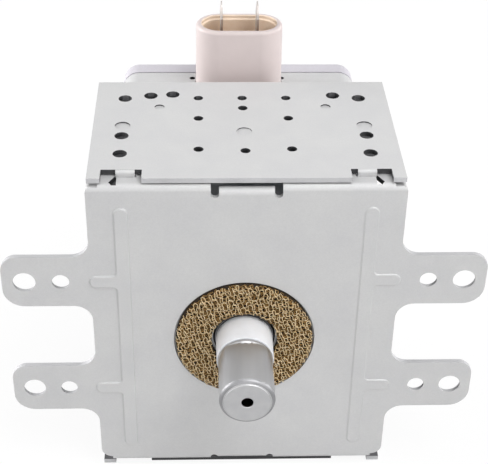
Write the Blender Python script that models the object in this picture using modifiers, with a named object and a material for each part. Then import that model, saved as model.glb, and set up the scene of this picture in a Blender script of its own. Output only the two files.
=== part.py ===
# Cooker magnetron: a folded steel yoke round the anode block, two ring magnets and cooling fins, with a
# ceramic and metal antenna in front and a filter box with its feed-through capacitor behind.
# Lengths are in metres. x runs across the ears, y runs back from the mounting face and z up from the
# antenna's axis. An empty carries every piece, and puts the middle of the underside on the world's origin.

import math

import bmesh
import bpy
from mathutils import Matrix, Vector

MM = 0.001

# Clearances
SEAT_GAP = 0.3 * MM
CUT_OVERRUN = 4 * MM
WELD_DISTANCE = 0.001 * MM

# Yoke: one sheet folded into two arms and a rear wall
YOKE_SHEET = 1.4 * MM
YOKE_WIDTH = 79.8 * MM
YOKE_HEIGHT = 97.2 * MM
YOKE_DEPTH = 53.6 * MM
YOKE_BEND_RADIUS = 2 * MM
ARM_SET_BACK = 0.95 * MM
LOWER_EDGE_SET_BACK = 0.7 * MM
AXIS_BELOW_MIDDLE = 1.9 * MM
NOTCH_FROM_MIDDLE = 26.2 * MM
NOTCH_WIDTH = 10.3 * MM
NOTCH_DEPTH = 4.25 * MM
TONGUE_FROM_MIDDLE = 28.2 * MM
TONGUE_WIDTH = 4.2 * MM
TONGUE_LENGTH = 1.65 * MM
TONGUE_ROOT = 1.2 * MM
TONGUE_THINNING = 0.1 * MM
TONGUE_TILT = math.radians(40)
SMALL_HOLE_RADIUS = 1.3 * MM
LARGE_HOLE_RADIUS = 1.85 * MM
DIMPLE_DEPTH = 0.45 * MM
SMALL_DIMPLE_RADIUS = 1.35 * MM
LARGE_DIMPLE_RADIUS = 2.05 * MM
# Places on the upper arm, as shares of the yoke's half width and of its depth
SMALL_HOLE_SHARES = (
    (-0.302, 0.797), (0, 0.797), (0.302, 0.797), (0, 0.691), (-0.302, 0.584), (0.302, 0.584),
    (-0.302, 0.281), (0, 0.267), (0.302, 0.281),
)
LARGE_HOLE_SHARES = (
    (-0.805, 0.793), (-0.629, 0.823), (-0.479, 0.836), (0.629, 0.823), (0.805, 0.793),
    (-0.805, 0.412), (0.805, 0.412), (-0.805, 0.243), (0.805, 0.243),
)
SMALL_DIMPLE_SHARES = ((-0.566, 0.703), (0.566, 0.703))
LARGE_DIMPLE_SHARES = ((-0.805, 0.513), (0.805, 0.513), (0, 0.453))

# Front plate: ears, raised beads, two flanges tucked inside the yoke's arms, and a drawn seat for the gasket
PLATE_SHEET = 1.4 * MM
PLATE_WIDTH = 80.6 * MM
PLATE_BEND_RADIUS = 1.8 * MM
FLANGE_DEPTH = 7.5 * MM
FLANGE_WIDTH = 74.4 * MM
UPPER_SHOULDER = 0.6 * MM
LOWER_SHOULDER = 1.5 * MM
UPPER_CORNER_RADIUS = 1.2 * MM
LOWER_CORNER_RADIUS = 5 * MM
MIDDLE_TAB_DROP = 1.1 * MM
SLOT_FROM_MIDDLE = 8 * MM
SLOT_WIDTH = 2.1 * MM
UPPER_SLOT_DEPTH = 3.6 * MM
LOWER_SLOT_DEPTH = 2 * MM
SLOT_BLEND = 0.15 * MM
WINDOW_MARGIN = 0.4 * MM
RELIEF_WIDTH = 1.8 * MM
RELIEF_START = 0.5 * MM
EAR_TIP = 63.3 * MM
EAR_HEIGHT = 15.7 * MM
EAR_SPACING = 36.3 * MM
EARS_ABOVE_AXIS = 1.35 * MM
EAR_UPPER_RADIUS = 4.2 * MM
EAR_LOWER_RADIUS = 5.5 * MM
EAR_FILLET = 4.8 * MM
BOLT_HOLE_RADIUS = 2.85 * MM
BOLT_HOLE_FROM_MIDDLE = 57.5 * MM
PIN_HOLE_RADIUS = 2.1 * MM
PIN_HOLE_FROM_MIDDLE = 48.05 * MM
BEAD_FROM_MIDDLE = 31.75 * MM
BEAD_WIDTH = 3.8 * MM
BEAD_HEIGHT = 0.6 * MM
BEAD_EDGE_RADIUS = 0.45 * MM
BEAD_ENDS_BEFORE_FLANGE = 6.4 * MM
BEAD_FINGER_TIP = 40.7 * MM
BEAD_FILLET = 0.9 * MM
BEAD_WALL = 0.5 * MM

# Output side: gasket, ceramic, cap and what they enclose
RECESS_DEPTH = 1.5 * MM
GASKET_RADIUS = 18.55 * MM
GASKET_BORE_RADIUS = 8.5 * MM
GASKET_THICKNESS = 2.5 * MM
GASKET_SIDE_GAP = 0.4 * MM
GASKET_LOOP_HEIGHT = 0.22 * MM
CERAMIC_RADIUS = 7.6 * MM
CERAMIC_WALL = 1.55 * MM
CERAMIC_REACH = 10 * MM
CERAMIC_ROOT = 0.6 * MM
CERAMIC_EDGE_RADIUS = 0.25 * MM
CAP_RADIUS = 7.2 * MM
CAP_WALL = 0.5 * MM
CAP_REACH = 25.6 * MM
CAP_EDGE_RADIUS = 0.9 * MM
VENT_RADIUS = 1.55 * MM
SEAL_THICKNESS = 0.6 * MM
EXHAUST_RADIUS = 3 * MM
EXHAUST_WALL = 0.8 * MM
EXHAUST_ROOT = 1.2 * MM
EXHAUST_LENGTH = 12.6 * MM
PINCH_LENGTH = 4.5 * MM
PINCH_THICKNESS = 1 * MM
PINCH_WIDTH = 7.6 * MM
SLEEVE_SHEET = 0.6 * MM
SLEEVE_RADIUS = 9.2 * MM
SLEEVE_FLANGE_RADIUS = 12.5 * MM
SLEEVE_NECK_RADIUS = 7.9 * MM
SLEEVE_SHOULDER = 1.6 * MM
SLEEVE_NECK_LENGTH = 2.5 * MM
SLEEVE_CLEARANCE = 0.5 * MM

# Magnets, anode block and cathode
MAGNET_RADIUS = 27 * MM
MAGNET_BORE_RADIUS = 10 * MM
MAGNET_SHARE_OF_DEPTH = 0.2246
MAGNET_CHAMFER = 0.8 * MM
ANODE_RADIUS = 19.6 * MM
ANODE_WALL = 2.7 * MM
ANODE_STEP = 0.6 * MM
POLE_SHEET = 1.6 * MM
POLE_SUNK = 1.1 * MM
POLE_DISH_DEPTH = 1.8 * MM
POLE_CONE_RADIUS = 13 * MM
POLE_HUB_RADIUS = 7.9 * MM
POLE_BORE_RADIUS = 4.7 * MM
VANE_COUNT = 10
VANE_THICKNESS = 1.8 * MM
VANE_SHARE_OF_ANODE = 0.414
VANE_TIP_RADIUS = 4.55 * MM
STRAP_WIDTH = 0.9 * MM
STRAP_THICKNESS = 1 * MM
INNER_STRAP_RADIUS = 6.6 * MM
OUTER_STRAP_RADIUS = 8.4 * MM
FILAMENT_RADIUS = 1.9 * MM
FILAMENT_WIRE_RADIUS = 0.28 * MM
FILAMENT_TURNS = 7
END_HAT_RADIUS = 3.3 * MM
END_HAT_THICKNESS = 1 * MM
END_HAT_LIP = 0.5 * MM
LEAD_RADIUS = 0.55 * MM
LEAD_SPACING = 6.4 * MM
LEAD_BORE_RADIUS = 0.95 * MM
REAR_HAT_BORE_RADIUS = 1 * MM
SIDE_LEAD_OFFSET = 2.2 * MM
ANTENNA_LEAD_RADIUS = 0.7 * MM
ANTENNA_LEAD_FOOT = 10.9 * MM
ANTENNA_LEAD_PASS = 7 * MM
ANTENNA_HOLE_RADIUS = 1.3 * MM
STEM_REACH = 5.35 * MM
STEM_CERAMIC_LENGTH = 6.4 * MM
STEM_TERMINAL_WIDTH = 4.8 * MM
STEM_TERMINAL_HEIGHT = 5 * MM
STEM_TERMINAL_SHEET = 0.6 * MM
STEM_TERMINAL_RADIUS = 0.6 * MM

# Cooling fins: flat round the anode, fanned out towards the yoke's arms, with a foot along each arm
FIN_COUNT = 5
FIN_SHEET = 0.6 * MM
FIN_WIDTH = 60 * MM
FIN_PITCH_SHARE_OF_ANODE = 0.2
FIN_BEHIND_FLANGE = 2.3 * MM
FIN_BEFORE_REAR_WALL = 6.9 * MM
FIN_FLAT_HALF = 29 * MM
FIN_FAN_HALF = 38.5 * MM
FIN_FOOT = 4 * MM
FIN_COLLAR_SHARE_OF_PITCH = 0.48

# Filter box, lid and the rivets that hold the box to the yoke
BOX_SHEET = 0.8 * MM
BOX_WIDTH = 68.8 * MM
BOX_HEIGHT = 74.6 * MM
BOX_SHARE_OF_ROOM_ABOVE = 0.31
BOX_DEPTH = 24.15 * MM
BOX_CORNER_RADIUS = 5 * MM
BOX_FRONT_RADIUS = 1.6 * MM
LID_SKIRT = 5.65 * MM
LID_EDGE_RADIUS = 1.3 * MM
JOGGLE_LENGTH = 0.45 * MM
JOGGLE_BEFORE_SKIRT = 0.2 * MM
RIVET_FROM_BOX_SIDE = 7.4 * MM
RIVET_FROM_BOX_END = 8.5 * MM
RIVET_RADIUS = 1.6 * MM
RIVET_HEAD_RADIUS = 3 * MM
RIVET_HEAD_THICKNESS = 1 * MM
RIVET_HEAD_EDGE = 0.45 * MM

# Feed-through capacitor: case, body, mounting plate and two spade terminals
CASE_WIDTH = 25 * MM
CASE_DEPTH = 14 * MM
CASE_OFF_CENTRE = 0.3 * MM
CASE_BEHIND_YOKE = 11.45 * MM
CASE_ABOVE_BOX = 19.2 * MM
CASE_WALL = 2.2 * MM
CASE_DRAFT = 0.2 * MM
CASE_RIM_RADIUS = 0.9 * MM
SOCKET_LEDGE = 0.35 * MM
SOCKET_LEDGE_DEPTH = 1.8 * MM
SOCKET_DEPTH = 12 * MM
CAPACITOR_HANG = 16 * MM
CAPACITOR_CHAMFER = 0.8 * MM
CAPACITOR_PLATE_SHEET = 1 * MM
CAPACITOR_PLATE_WIDTH = 34 * MM
CAPACITOR_PLATE_DEPTH = 11.4 * MM
CAPACITOR_PLATE_CORNER = 2.5 * MM
LOCATING_HOLE_RADIUS = 0.85 * MM
LOCATING_HOLE_FROM_CASE_MIDDLE = 13.5 * MM
LOCATING_HOLE_BEHIND_CASE_MIDDLE = 3.1 * MM
SPADE_SPACING = 10.2 * MM
SPADE_WIDTH = 6.3 * MM
SPADE_SHEET = 0.8 * MM
SPADE_ABOVE_CASE = 6.1 * MM
SPADE_POINT = 1.6 * MM
SPADE_TIP_WIDTH = 2.6 * MM
SPADE_FOOT = 2.4 * MM
SPADE_TAIL_WIDTH = 2 * MM
SPADE_TAIL_BELOW_BODY = 3.5 * MM
SPADE_DETENT_RADIUS = 0.9 * MM
SPADE_DETENT_BELOW_TIP = 4.6 * MM

# Choke coils wound on ferrite rods inside the filter box
CHOKE_FROM_MIDDLE = 20 * MM
CHOKE_CORE_RADIUS = 2.6 * MM
CHOKE_CORE_LENGTH = 25 * MM
CHOKE_CORE_CHAMFER = 0.3 * MM
CHOKE_WIRE_RADIUS = 0.6 * MM
CHOKE_TURNS = 8
CHOKE_PITCH = 2.4 * MM
CHOKE_MIDDLE_BELOW_AXIS = 2 * MM
CHOKE_BEND = 3 * MM

# Facets
RING_SEGMENTS = 36
SMALL_RING_SEGMENTS = 20
HOLE_SEGMENTS = 12
ARC_STEP = math.radians(23)
FOLD_ARC_STEP = math.radians(31)
BEAD_ARC_STEP = math.radians(46)
GASKET_LOOPS = 32
GASKET_SECTION_POINTS = 12
GASKET_SQUARENESS = 0.45
WIRE_POINTS_PER_TURN = 8
SHARP_ANGLE = math.radians(35)

# Finishes: base colour, roughness, metallic
FINISHES = {
    "zinc_coated_steel": ((0.62, 0.62, 0.62), 0.45, 0.6),
    "drawn_steel": ((0.5, 0.5, 0.52), 0.35, 0.9),
    "knitted_brass": ((0.42, 0.30, 0.12), 0.4, 0.9),
    "alumina": ((0.86, 0.86, 0.85), 0.35, 0),
    "copper": ((0.66, 0.30, 0.16), 0.3, 1),
    "soft_iron": ((0.36, 0.36, 0.37), 0.5, 0.9),
    "ferrite": ((0.035, 0.035, 0.04), 0.7, 0),
    "aluminium_fin": ((0.78, 0.79, 0.8), 0.3, 1),
    "tungsten": ((0.22, 0.22, 0.24), 0.45, 1),
    "molybdenum": ((0.45, 0.45, 0.47), 0.35, 1),
    "case_plastic": ((0.86, 0.78, 0.75), 0.4, 0),
    "cast_epoxy": ((0.62, 0.5, 0.32), 0.5, 0),
    "tinned_brass": ((0.6, 0.6, 0.58), 0.3, 1),
    "enamelled_copper": ((0.42, 0.12, 0.05), 0.3, 0.6),
}

# Levels up the yoke, measured from the antenna's axis
yoke_top = YOKE_HEIGHT / 2 + AXIS_BELOW_MIDDLE
yoke_bottom = yoke_top - YOKE_HEIGHT
arm_faces = (yoke_bottom + YOKE_SHEET, yoke_top - YOKE_SHEET)
flange_faces = (arm_faces[0] + SEAT_GAP, arm_faces[1] - SEAT_GAP)
ear_levels = (EARS_ABOVE_AXIS - EAR_SPACING / 2, EARS_ABOVE_AXIS + EAR_SPACING / 2)

# Depths behind the mounting face, from front to back
notch_end = ARM_SET_BACK + NOTCH_DEPTH
recess_back = RECESS_DEPTH + PLATE_SHEET
magnet_thickness = YOKE_DEPTH * MAGNET_SHARE_OF_DEPTH
front_magnet_depths = (recess_back + SEAT_GAP, recess_back + SEAT_GAP + magnet_thickness)
rear_wall_face = YOKE_DEPTH - YOKE_SHEET
rear_magnet_depths = (rear_wall_face - SEAT_GAP - magnet_thickness, rear_wall_face - SEAT_GAP)
anode_depths = (front_magnet_depths[1] + SEAT_GAP, rear_magnet_depths[0] - SEAT_GAP)
anode_middle = (anode_depths[0] + anode_depths[1]) / 2
anode_length = anode_depths[1] - anode_depths[0]
vane_height = anode_length * VANE_SHARE_OF_ANODE
vane_depths = (anode_middle - vane_height / 2, anode_middle + vane_height / 2)
fin_pitch_at_anode = anode_length * FIN_PITCH_SHARE_OF_ANODE
fanned_fin_depths = (FLANGE_DEPTH + FIN_BEHIND_FLANGE, rear_wall_face - FIN_BEFORE_REAR_WALL)
pole_rim = anode_depths[0] + POLE_SUNK
pole_hub_back = pole_rim + POLE_DISH_DEPTH + POLE_SHEET
sleeve_root = pole_rim - SEAT_GAP
sleeve_front_end = CERAMIC_ROOT + SEAT_GAP
box_front = YOKE_DEPTH + SEAT_GAP
box_back = box_front + BOX_DEPTH
box_rim = box_back - BOX_SHEET - SEAT_GAP
box_top = yoke_top - (YOKE_HEIGHT - BOX_HEIGHT) * BOX_SHARE_OF_ROOM_ABOVE
box_bottom = box_top - BOX_HEIGHT
box_middle = (box_top + box_bottom) / 2
stem_end = YOKE_DEPTH + STEM_REACH
stem_ceramic_depths = (stem_end + SEAT_GAP, stem_end + SEAT_GAP + STEM_CERAMIC_LENGTH)
stem_terminal_depths = (
    stem_ceramic_depths[1] + SEAT_GAP,
    stem_ceramic_depths[1] + SEAT_GAP + STEM_TERMINAL_SHEET,
)
case_middle = (-CASE_OFF_CENTRE, YOKE_DEPTH + CASE_BEHIND_YOKE)
case_top = box_top + CASE_ABOVE_BOX
case_bottom = box_top - BOX_SHEET
socket_floor = case_top - SOCKET_DEPTH
capacitor_plate_top = case_bottom - SEAT_GAP
capacitor_bottom = case_bottom - CAPACITOR_HANG
spade_tip = case_top + SPADE_ABOVE_CASE

# Radii that follow from the pieces that meet there
gasket_recess_radius = GASKET_RADIUS + GASKET_SIDE_GAP
plate_bore_radius = SLEEVE_NECK_RADIUS + SLEEVE_CLEARANCE
wall_bore_radius = SLEEVE_RADIUS + SLEEVE_CLEARANCE
anode_bore_radius = ANODE_RADIUS - ANODE_WALL
pole_radius = anode_bore_radius + ANODE_STEP - SEAT_GAP
cap_bore_radius = CAP_RADIUS - CAP_WALL
rivet_hole_radius = RIVET_RADIUS + SEAT_GAP

X_AXIS, Y_AXIS, Z_AXIS = Vector((1, 0, 0)), Vector((0, 1, 0)), Vector((0, 0, 1))
# Each plane's two outline directions and the direction of its thickness
PLANES = {
    "front": (X_AXIS, Z_AXIS, Y_AXIS),
    "side": (Y_AXIS, Z_AXIS, X_AXIS),
    "top": (X_AXIS, Y_AXIS, Z_AXIS),
}


def clear_scene():
    for thing in list(bpy.data.objects):
        bpy.data.objects.remove(thing, do_unlink=True)


def new_collection(name):
    collection = bpy.data.collections.new(name)
    bpy.context.scene.collection.children.link(collection)
    return collection


def plane_matrix(plane, level=0):
    across, up, through = PLANES[plane]
    matrix = Matrix((across, up, across.cross(up))).transposed().to_4x4()
    matrix.translation = through * level
    return matrix


def finish_material(name, finish):
    colour, roughness, metallic = FINISHES[finish]
    material = bpy.data.materials.new(name + "_" + finish)
    material.use_nodes = True
    shader = material.node_tree.nodes["Principled BSDF"]
    shader.inputs["Base Color"].default_value = (*colour, 1)
    shader.inputs["Roughness"].default_value = roughness
    shader.inputs["Metallic"].default_value = metallic
    return material


def place(name, data, matrix=None, cutter=False):
    thing = bpy.data.objects.new(name, data)
    (cutters if cutter else pieces).objects.link(thing)
    thing.parent = carrier
    if matrix is not None:
        thing.matrix_local = matrix
    if cutter:
        thing.hide_render = True
        thing.display_type = "WIRE"
    return thing


def piece(name, data, finish, matrix=None):
    thing = place(name, data, matrix)
    thing.data.materials.append(finish_material(name, finish))
    return thing


def mesh_of(bm, name):
    mesh = bpy.data.meshes.new(name)
    bm.to_mesh(mesh)
    bm.free()
    return mesh


def evaluated_mesh(data, name, modifiers):
    # Makes a closed, welded mesh from a mesh with modifiers.
    source = bpy.data.objects.new(name, data)
    pieces.objects.link(source)
    for kind, settings in modifiers:
        modifier = source.modifiers.new(kind.title(), kind)
        for setting, value in settings.items():
            setattr(modifier, setting, value)
    graph = bpy.context.evaluated_depsgraph_get()
    made = bpy.data.meshes.new_from_object(source.evaluated_get(graph))
    bpy.data.objects.remove(source, do_unlink=True)
    bm = bmesh.new()
    bm.from_mesh(made)
    bmesh.ops.remove_doubles(bm, verts=bm.verts, dist=WELD_DISTANCE)
    bmesh.ops.recalc_face_normals(bm, faces=bm.faces)
    return mesh_of(bm, name)


def prism_mesh(name, outlines, low, high):
    # Flat outlines, apart from each other, whose thickness runs between two levels.
    bm = bmesh.new()
    for outline in outlines:
        ends = []
        for level in ((low - high) / 2, (high - low) / 2):
            ends.append([bm.verts.new((across, up, level)) for across, up in outline])
        bm.faces.new(ends[0][::-1])
        bm.faces.new(ends[1])
        for index in range(len(outline)):
            bm.faces.new((ends[0][index - 1], ends[0][index], ends[1][index], ends[1][index - 1]))
    bmesh.ops.recalc_face_normals(bm, faces=bm.faces)
    return mesh_of(bm, name)


def prism_cutter(name, outlines, plane, low, high):
    mesh = prism_mesh(name, outlines, low, high)
    return place(name, mesh, plane_matrix(plane, (low + high) / 2), cutter=True)


def prism_piece(name, outlines, plane, low, high, finish):
    mesh = prism_mesh(name, outlines, low, high)
    return piece(name, mesh, finish, plane_matrix(plane, (low + high) / 2))


def turned_mesh(name, profile, segments=RING_SEGMENTS):
    # The profile holds (radius, level) points of a closed section, or runs from axis to axis.
    turn = sum(a[0] * b[1] - b[0] * a[1] for a, b in zip(profile, profile[1:] + profile[:1]))
    points = profile[::-1] if turn > 0 else profile
    on_axis = points[0][0] == 0 and points[-1][0] == 0
    bm = bmesh.new()
    corners = [bm.verts.new((radius, 0, level)) for radius, level in points]
    for start, end in zip(corners, corners[1:]):
        bm.edges.new((start, end))
    if not on_axis:
        bm.edges.new((corners[-1], corners[0]))
    mesh = bpy.data.meshes.new(name)
    bm.to_mesh(mesh)
    bm.free()
    spin = {
        "steps": segments,
        "render_steps": segments,
        "use_merge_vertices": True,
        "merge_threshold": WELD_DISTANCE,
    }
    return evaluated_mesh(mesh, name, [("SCREW", spin)])


# Turns a level measured up a turned mesh's own axis into a depth behind the mounting face.
along_depth = Matrix.Rotation(math.radians(-90), 4, "X")


def turned_piece(name, profile, finish, segments=RING_SEGMENTS):
    return piece(name, turned_mesh(name, profile, segments), finish, along_depth)


def turned_cutter(name, profile, segments=RING_SEGMENTS):
    return place(name, turned_mesh(name, profile, segments), along_depth, cutter=True)


def pegs(name, places, radius, plane, low, high, segments=HOLE_SEGMENTS):
    # Round pegs, one at each place on the plane, that cut holes between two levels.
    matrix = plane_matrix(plane, (low + high) / 2)
    bm = bmesh.new()
    for across, up in places:
        bmesh.ops.create_cone(
            bm,
            cap_ends=True,
            segments=segments,
            radius1=radius,
            radius2=radius,
            depth=high - low,
            matrix=Matrix.Translation((across, up, 0)),
        )
    return place(name, mesh_of(bm, name), matrix, cutter=True)


def blocks(name, spans):
    # Box cutters, each given by its spans along x, y and z.
    bm = bmesh.new()
    for span in spans:
        middle = Vector([(low + high) / 2 for low, high in span])
        size = [high - low for low, high in span]
        matrix = Matrix.Translation(middle) @ Matrix.Diagonal((*size, 1))
        bmesh.ops.create_cube(bm, size=1, matrix=matrix)
    return place(name, mesh_of(bm, name), cutter=True)


def combine(thing, operation, *others):
    for other in others:
        modifier = thing.modifiers.new(operation.title() + " " + other.name, "BOOLEAN")
        modifier.operation = operation
        modifier.solver = "EXACT"
        modifier.object = other


def cut(thing, *others):
    combine(thing, "DIFFERENCE", *others)


def join(thing, *others):
    combine(thing, "UNION", *others)


def rounded(corners, step=ARC_STEP):
    # The closed outline through corners given as (across, up), or as (across, up, radius) to round them.
    points = []
    for index, corner in enumerate(corners):
        here = Vector(corner[:2])
        if len(corner) == 2:
            points.append(tuple(here))
            continue
        before = (Vector(corners[index - 1][:2]) - here).normalized()
        after = (Vector(corners[(index + 1) % len(corners)][:2]) - here).normalized()
        turn = math.pi - before.angle(after)
        middle = here + (before + after).normalized() * corner[2] / math.cos(turn / 2)
        first_spoke = here + before * corner[2] * math.tan(turn / 2) - middle
        side = math.copysign(1, before.y * after.x - before.x * after.y)
        steps = max(2, math.ceil(turn / step))
        for number in range(steps + 1):
            spoke = Matrix.Rotation(side * turn * number / steps, 2) @ first_spoke
            points.append(tuple(middle + spoke))
    return points


def strip(path, thickness):
    # The closed outline of a sheet whose middle follows the path.
    points = [Vector(point) for point in path]
    legs = [(end - start).normalized() for start, end in zip(points, points[1:])]
    sides = ([], [])
    for here, before, after in zip(points, [legs[0]] + legs, legs + [legs[-1]]):
        along = (before + after).normalized()
        across = Vector((-along.y, along.x)) * thickness / 2 / along.dot(before)
        sides[0].append(tuple(here + across))
        sides[1].append(tuple(here - across))
    return sides[0] + sides[1][::-1]


def mirrored(outline):
    return [(-across, up) for across, up in reversed(outline)]


def rectangle(width, height, radius, inset=0):
    across, up, corner = width / 2 - inset, height / 2 - inset, radius - inset
    return rounded(
        [(across, up, corner), (-across, up, corner), (-across, -up, corner), (across, -up, corner)]
    )


def stadium(width, depth, inset=0):
    # Two half circles joined by straight sides. An inset moves its outline evenly inwards.
    radius, offset = depth / 2 - inset, (width - depth) / 2
    steps = math.ceil(math.pi / ARC_STEP)
    outline = []
    for end, first_angle in ((1, -math.pi / 2), (-1, math.pi / 2)):
        for number in range(steps + 1):
            angle = first_angle + math.pi * number / steps
            outline.append((end * offset + radius * math.cos(angle), radius * math.sin(angle)))
    return outline


def loft_mesh(name, sections, cap_first=False, cap_last=False, closed=False):
    # Skins a run of sections, each a closed list of points, and faces the skin outwards.
    bm = bmesh.new()
    rings = [[bm.verts.new(point) for point in section] for section in sections]
    pairs = list(zip(rings, rings[1:])) + ([(rings[-1], rings[0])] if closed else [])
    for first, second in pairs:
        for index in range(len(first)):
            bm.faces.new((first[index - 1], first[index], second[index], second[index - 1]))
    if cap_first:
        bm.faces.new(rings[0][::-1])
    if cap_last:
        bm.faces.new(rings[-1])
    if closed or (cap_first and cap_last):
        bmesh.ops.recalc_face_normals(bm, faces=bm.faces)
    middle = sum((vert.co for vert in bm.verts), Vector()) / len(bm.verts)
    bm.normal_update()
    outward = sum((f.calc_center_median() - middle).dot(f.normal) * f.calc_area() for f in bm.faces)
    if not closed and outward < 0:
        bmesh.ops.reverse_faces(bm, faces=bm.faces)
    return mesh_of(bm, name)


def wire(name, points, radius, finish, resolution=1):
    curve = bpy.data.curves.new(name, "CURVE")
    curve.dimensions = "3D"
    curve.bevel_depth = radius
    curve.bevel_resolution = resolution
    curve.use_fill_caps = True
    spline = curve.splines.new("POLY")
    spline.points.add(len(points) - 1)
    for point, place_along in zip(spline.points, points):
        point.co = (*place_along, 1)
    return piece(name, curve, finish)


def bent(points, reach, steps=4):
    # The path through these points with each inner corner eased over this reach.
    path = [Vector(point) for point in points]
    eased = [path[0]]
    for before, here, after in zip(path, path[1:], path[2:]):
        start = here + (before - here).normalized() * min(reach, (before - here).length / 2)
        end = here + (after - here).normalized() * min(reach, (after - here).length / 2)
        for number in range(steps + 1):
            share = number / steps
            eased.append(start.lerp(here, share).lerp(here.lerp(end, share), share))
    return eased + [path[-1]]


def share_places(shares):
    return [(across * YOKE_WIDTH / 2, depth * YOKE_DEPTH) for across, depth in shares]


def both_ways(value):
    return (-value, value)


def yoke_frame():
    depth, inner = YOKE_DEPTH, YOKE_BEND_RADIUS - YOKE_SHEET
    section = rounded([
        (ARM_SET_BACK, yoke_top),
        (ARM_SET_BACK, arm_faces[1]),
        (rear_wall_face, arm_faces[1], inner),
        (rear_wall_face, arm_faces[0], inner),
        (ARM_SET_BACK, arm_faces[0]),
        (ARM_SET_BACK, yoke_bottom),
        (depth, yoke_bottom, YOKE_BEND_RADIUS),
        (depth, yoke_top, YOKE_BEND_RADIUS),
    ], FOLD_ARC_STEP)
    frame = prism_piece(
        "yoke_frame", [section], "side", -YOKE_WIDTH / 2, YOKE_WIDTH / 2, "zinc_coated_steel"
    )
    arms = (
        (yoke_bottom - CUT_OVERRUN, arm_faces[0] + SEAT_GAP),
        (arm_faces[1] - SEAT_GAP, yoke_top + CUT_OVERRUN),
    )
    notches, tongues = [], []
    for arm in arms:
        for side in (-1, 1):
            near, far = side * NOTCH_FROM_MIDDLE, side * (NOTCH_FROM_MIDDLE + NOTCH_WIDTH)
            notches.append(((min(near, far), max(near, far)), (-CUT_OVERRUN, notch_end), arm))
    lower_edge_end = ARM_SET_BACK + LOWER_EDGE_SET_BACK
    lower_half = NOTCH_FROM_MIDDLE + (NOTCH_WIDTH - TONGUE_WIDTH) / 4
    lower_edge = (both_ways(lower_half), (-CUT_OVERRUN, lower_edge_end), arms[0])
    above = (yoke_top - YOKE_SHEET - CUT_OVERRUN, yoke_top + CUT_OVERRUN)
    dimple = (yoke_top - DIMPLE_DEPTH, yoke_top + CUT_OVERRUN)
    wall = (rear_wall_face - CUT_OVERRUN, YOKE_DEPTH + CUT_OVERRUN)
    cut(
        frame,
        blocks("cut_notches", notches),
        blocks("cut_lower_edge", [lower_edge]),
        pegs("cut_small_holes", share_places(SMALL_HOLE_SHARES), SMALL_HOLE_RADIUS, "top", *above),
        pegs("cut_large_holes", share_places(LARGE_HOLE_SHARES), LARGE_HOLE_RADIUS, "top", *above),
        pegs("cut_small_dimples", share_places(SMALL_DIMPLE_SHARES), SMALL_DIMPLE_RADIUS, "top", *dimple),
        pegs("cut_large_dimples", share_places(LARGE_DIMPLE_SHARES), LARGE_DIMPLE_RADIUS, "top", *dimple),
        pegs("cut_stem_bore", [(0, 0)], wall_bore_radius, "front", *wall, RING_SEGMENTS),
        pegs("cut_yoke_rivet_holes", rivet_places(), rivet_hole_radius, "front", *wall),
    )
    for level, lean in ((arm_faces[0] - YOKE_SHEET / 2, 1), (arm_faces[1] + YOKE_SHEET / 2, -1)):
        for side in (-1, 1):
            near, far = side * TONGUE_FROM_MIDDLE, side * (TONGUE_FROM_MIDDLE + TONGUE_WIDTH)
            name = "join_tongue_" + str(len(tongues) + 1)
            outline = tongue_outline(level, lean)
            tongues.append(prism_cutter(name, [outline], "side", min(near, far), max(near, far)))
    join(frame, *tongues)


def tongue_outline(level, lean):
    # The clinch tongue left standing in a notch, bent over into the front plate's window.
    tip = (
        notch_end - TONGUE_LENGTH * math.cos(TONGUE_TILT),
        level + lean * TONGUE_LENGTH * math.sin(TONGUE_TILT),
    )
    return strip(
        [(notch_end + TONGUE_ROOT, level), (notch_end, level), tip], YOKE_SHEET - 2 * TONGUE_THINNING
    )


def rivet_places():
    levels = (box_bottom + RIVET_FROM_BOX_END, box_top - RIVET_FROM_BOX_END)
    from_middle = BOX_WIDTH / 2 - RIVET_FROM_BOX_SIDE
    return [(across, up) for across in both_ways(from_middle) for up in levels]


def plate_section(across, drop):
    # Section of the front plate at one place across it. The drop moves both flanges towards the middle.
    sheet, bend = PLATE_SHEET, PLATE_BEND_RADIUS
    low, high = flange_faces[0] + drop, flange_faces[1] - drop
    corners = [
        (FLANGE_DEPTH, high),
        (0, high, bend),
        (0, low, bend),
        (FLANGE_DEPTH, low),
        (FLANGE_DEPTH, low + sheet),
        (sheet, low + sheet, bend - sheet),
        (sheet, high - sheet, bend - sheet),
        (FLANGE_DEPTH, high - sheet),
    ]
    return [(across, depth, up) for depth, up in rounded(corners, FOLD_ARC_STEP)]


def plate_outline():
    # Half the front plate's outline from its upper flange down to its lower one, then the other half.
    half, flange, ear = PLATE_WIDTH / 2, FLANGE_WIDTH / 2, EAR_HEIGHT / 2
    upper, lower = flange_faces[1] - UPPER_SHOULDER, flange_faces[0] + LOWER_SHOULDER
    corners = [(flange, yoke_top + CUT_OVERRUN), (flange, upper), (half, upper, UPPER_CORNER_RADIUS)]
    for level in reversed(ear_levels):
        corners += [
            (half, level + ear, EAR_FILLET),
            (EAR_TIP, level + ear, EAR_UPPER_RADIUS),
            (EAR_TIP, level - ear, EAR_LOWER_RADIUS),
            (half, level - ear, EAR_FILLET),
        ]
    corners += [(half, lower, LOWER_CORNER_RADIUS), (flange, lower), (flange, yoke_bottom - CUT_OVERRUN)]
    right = rounded(corners)
    return right + mirrored(right)


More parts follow.
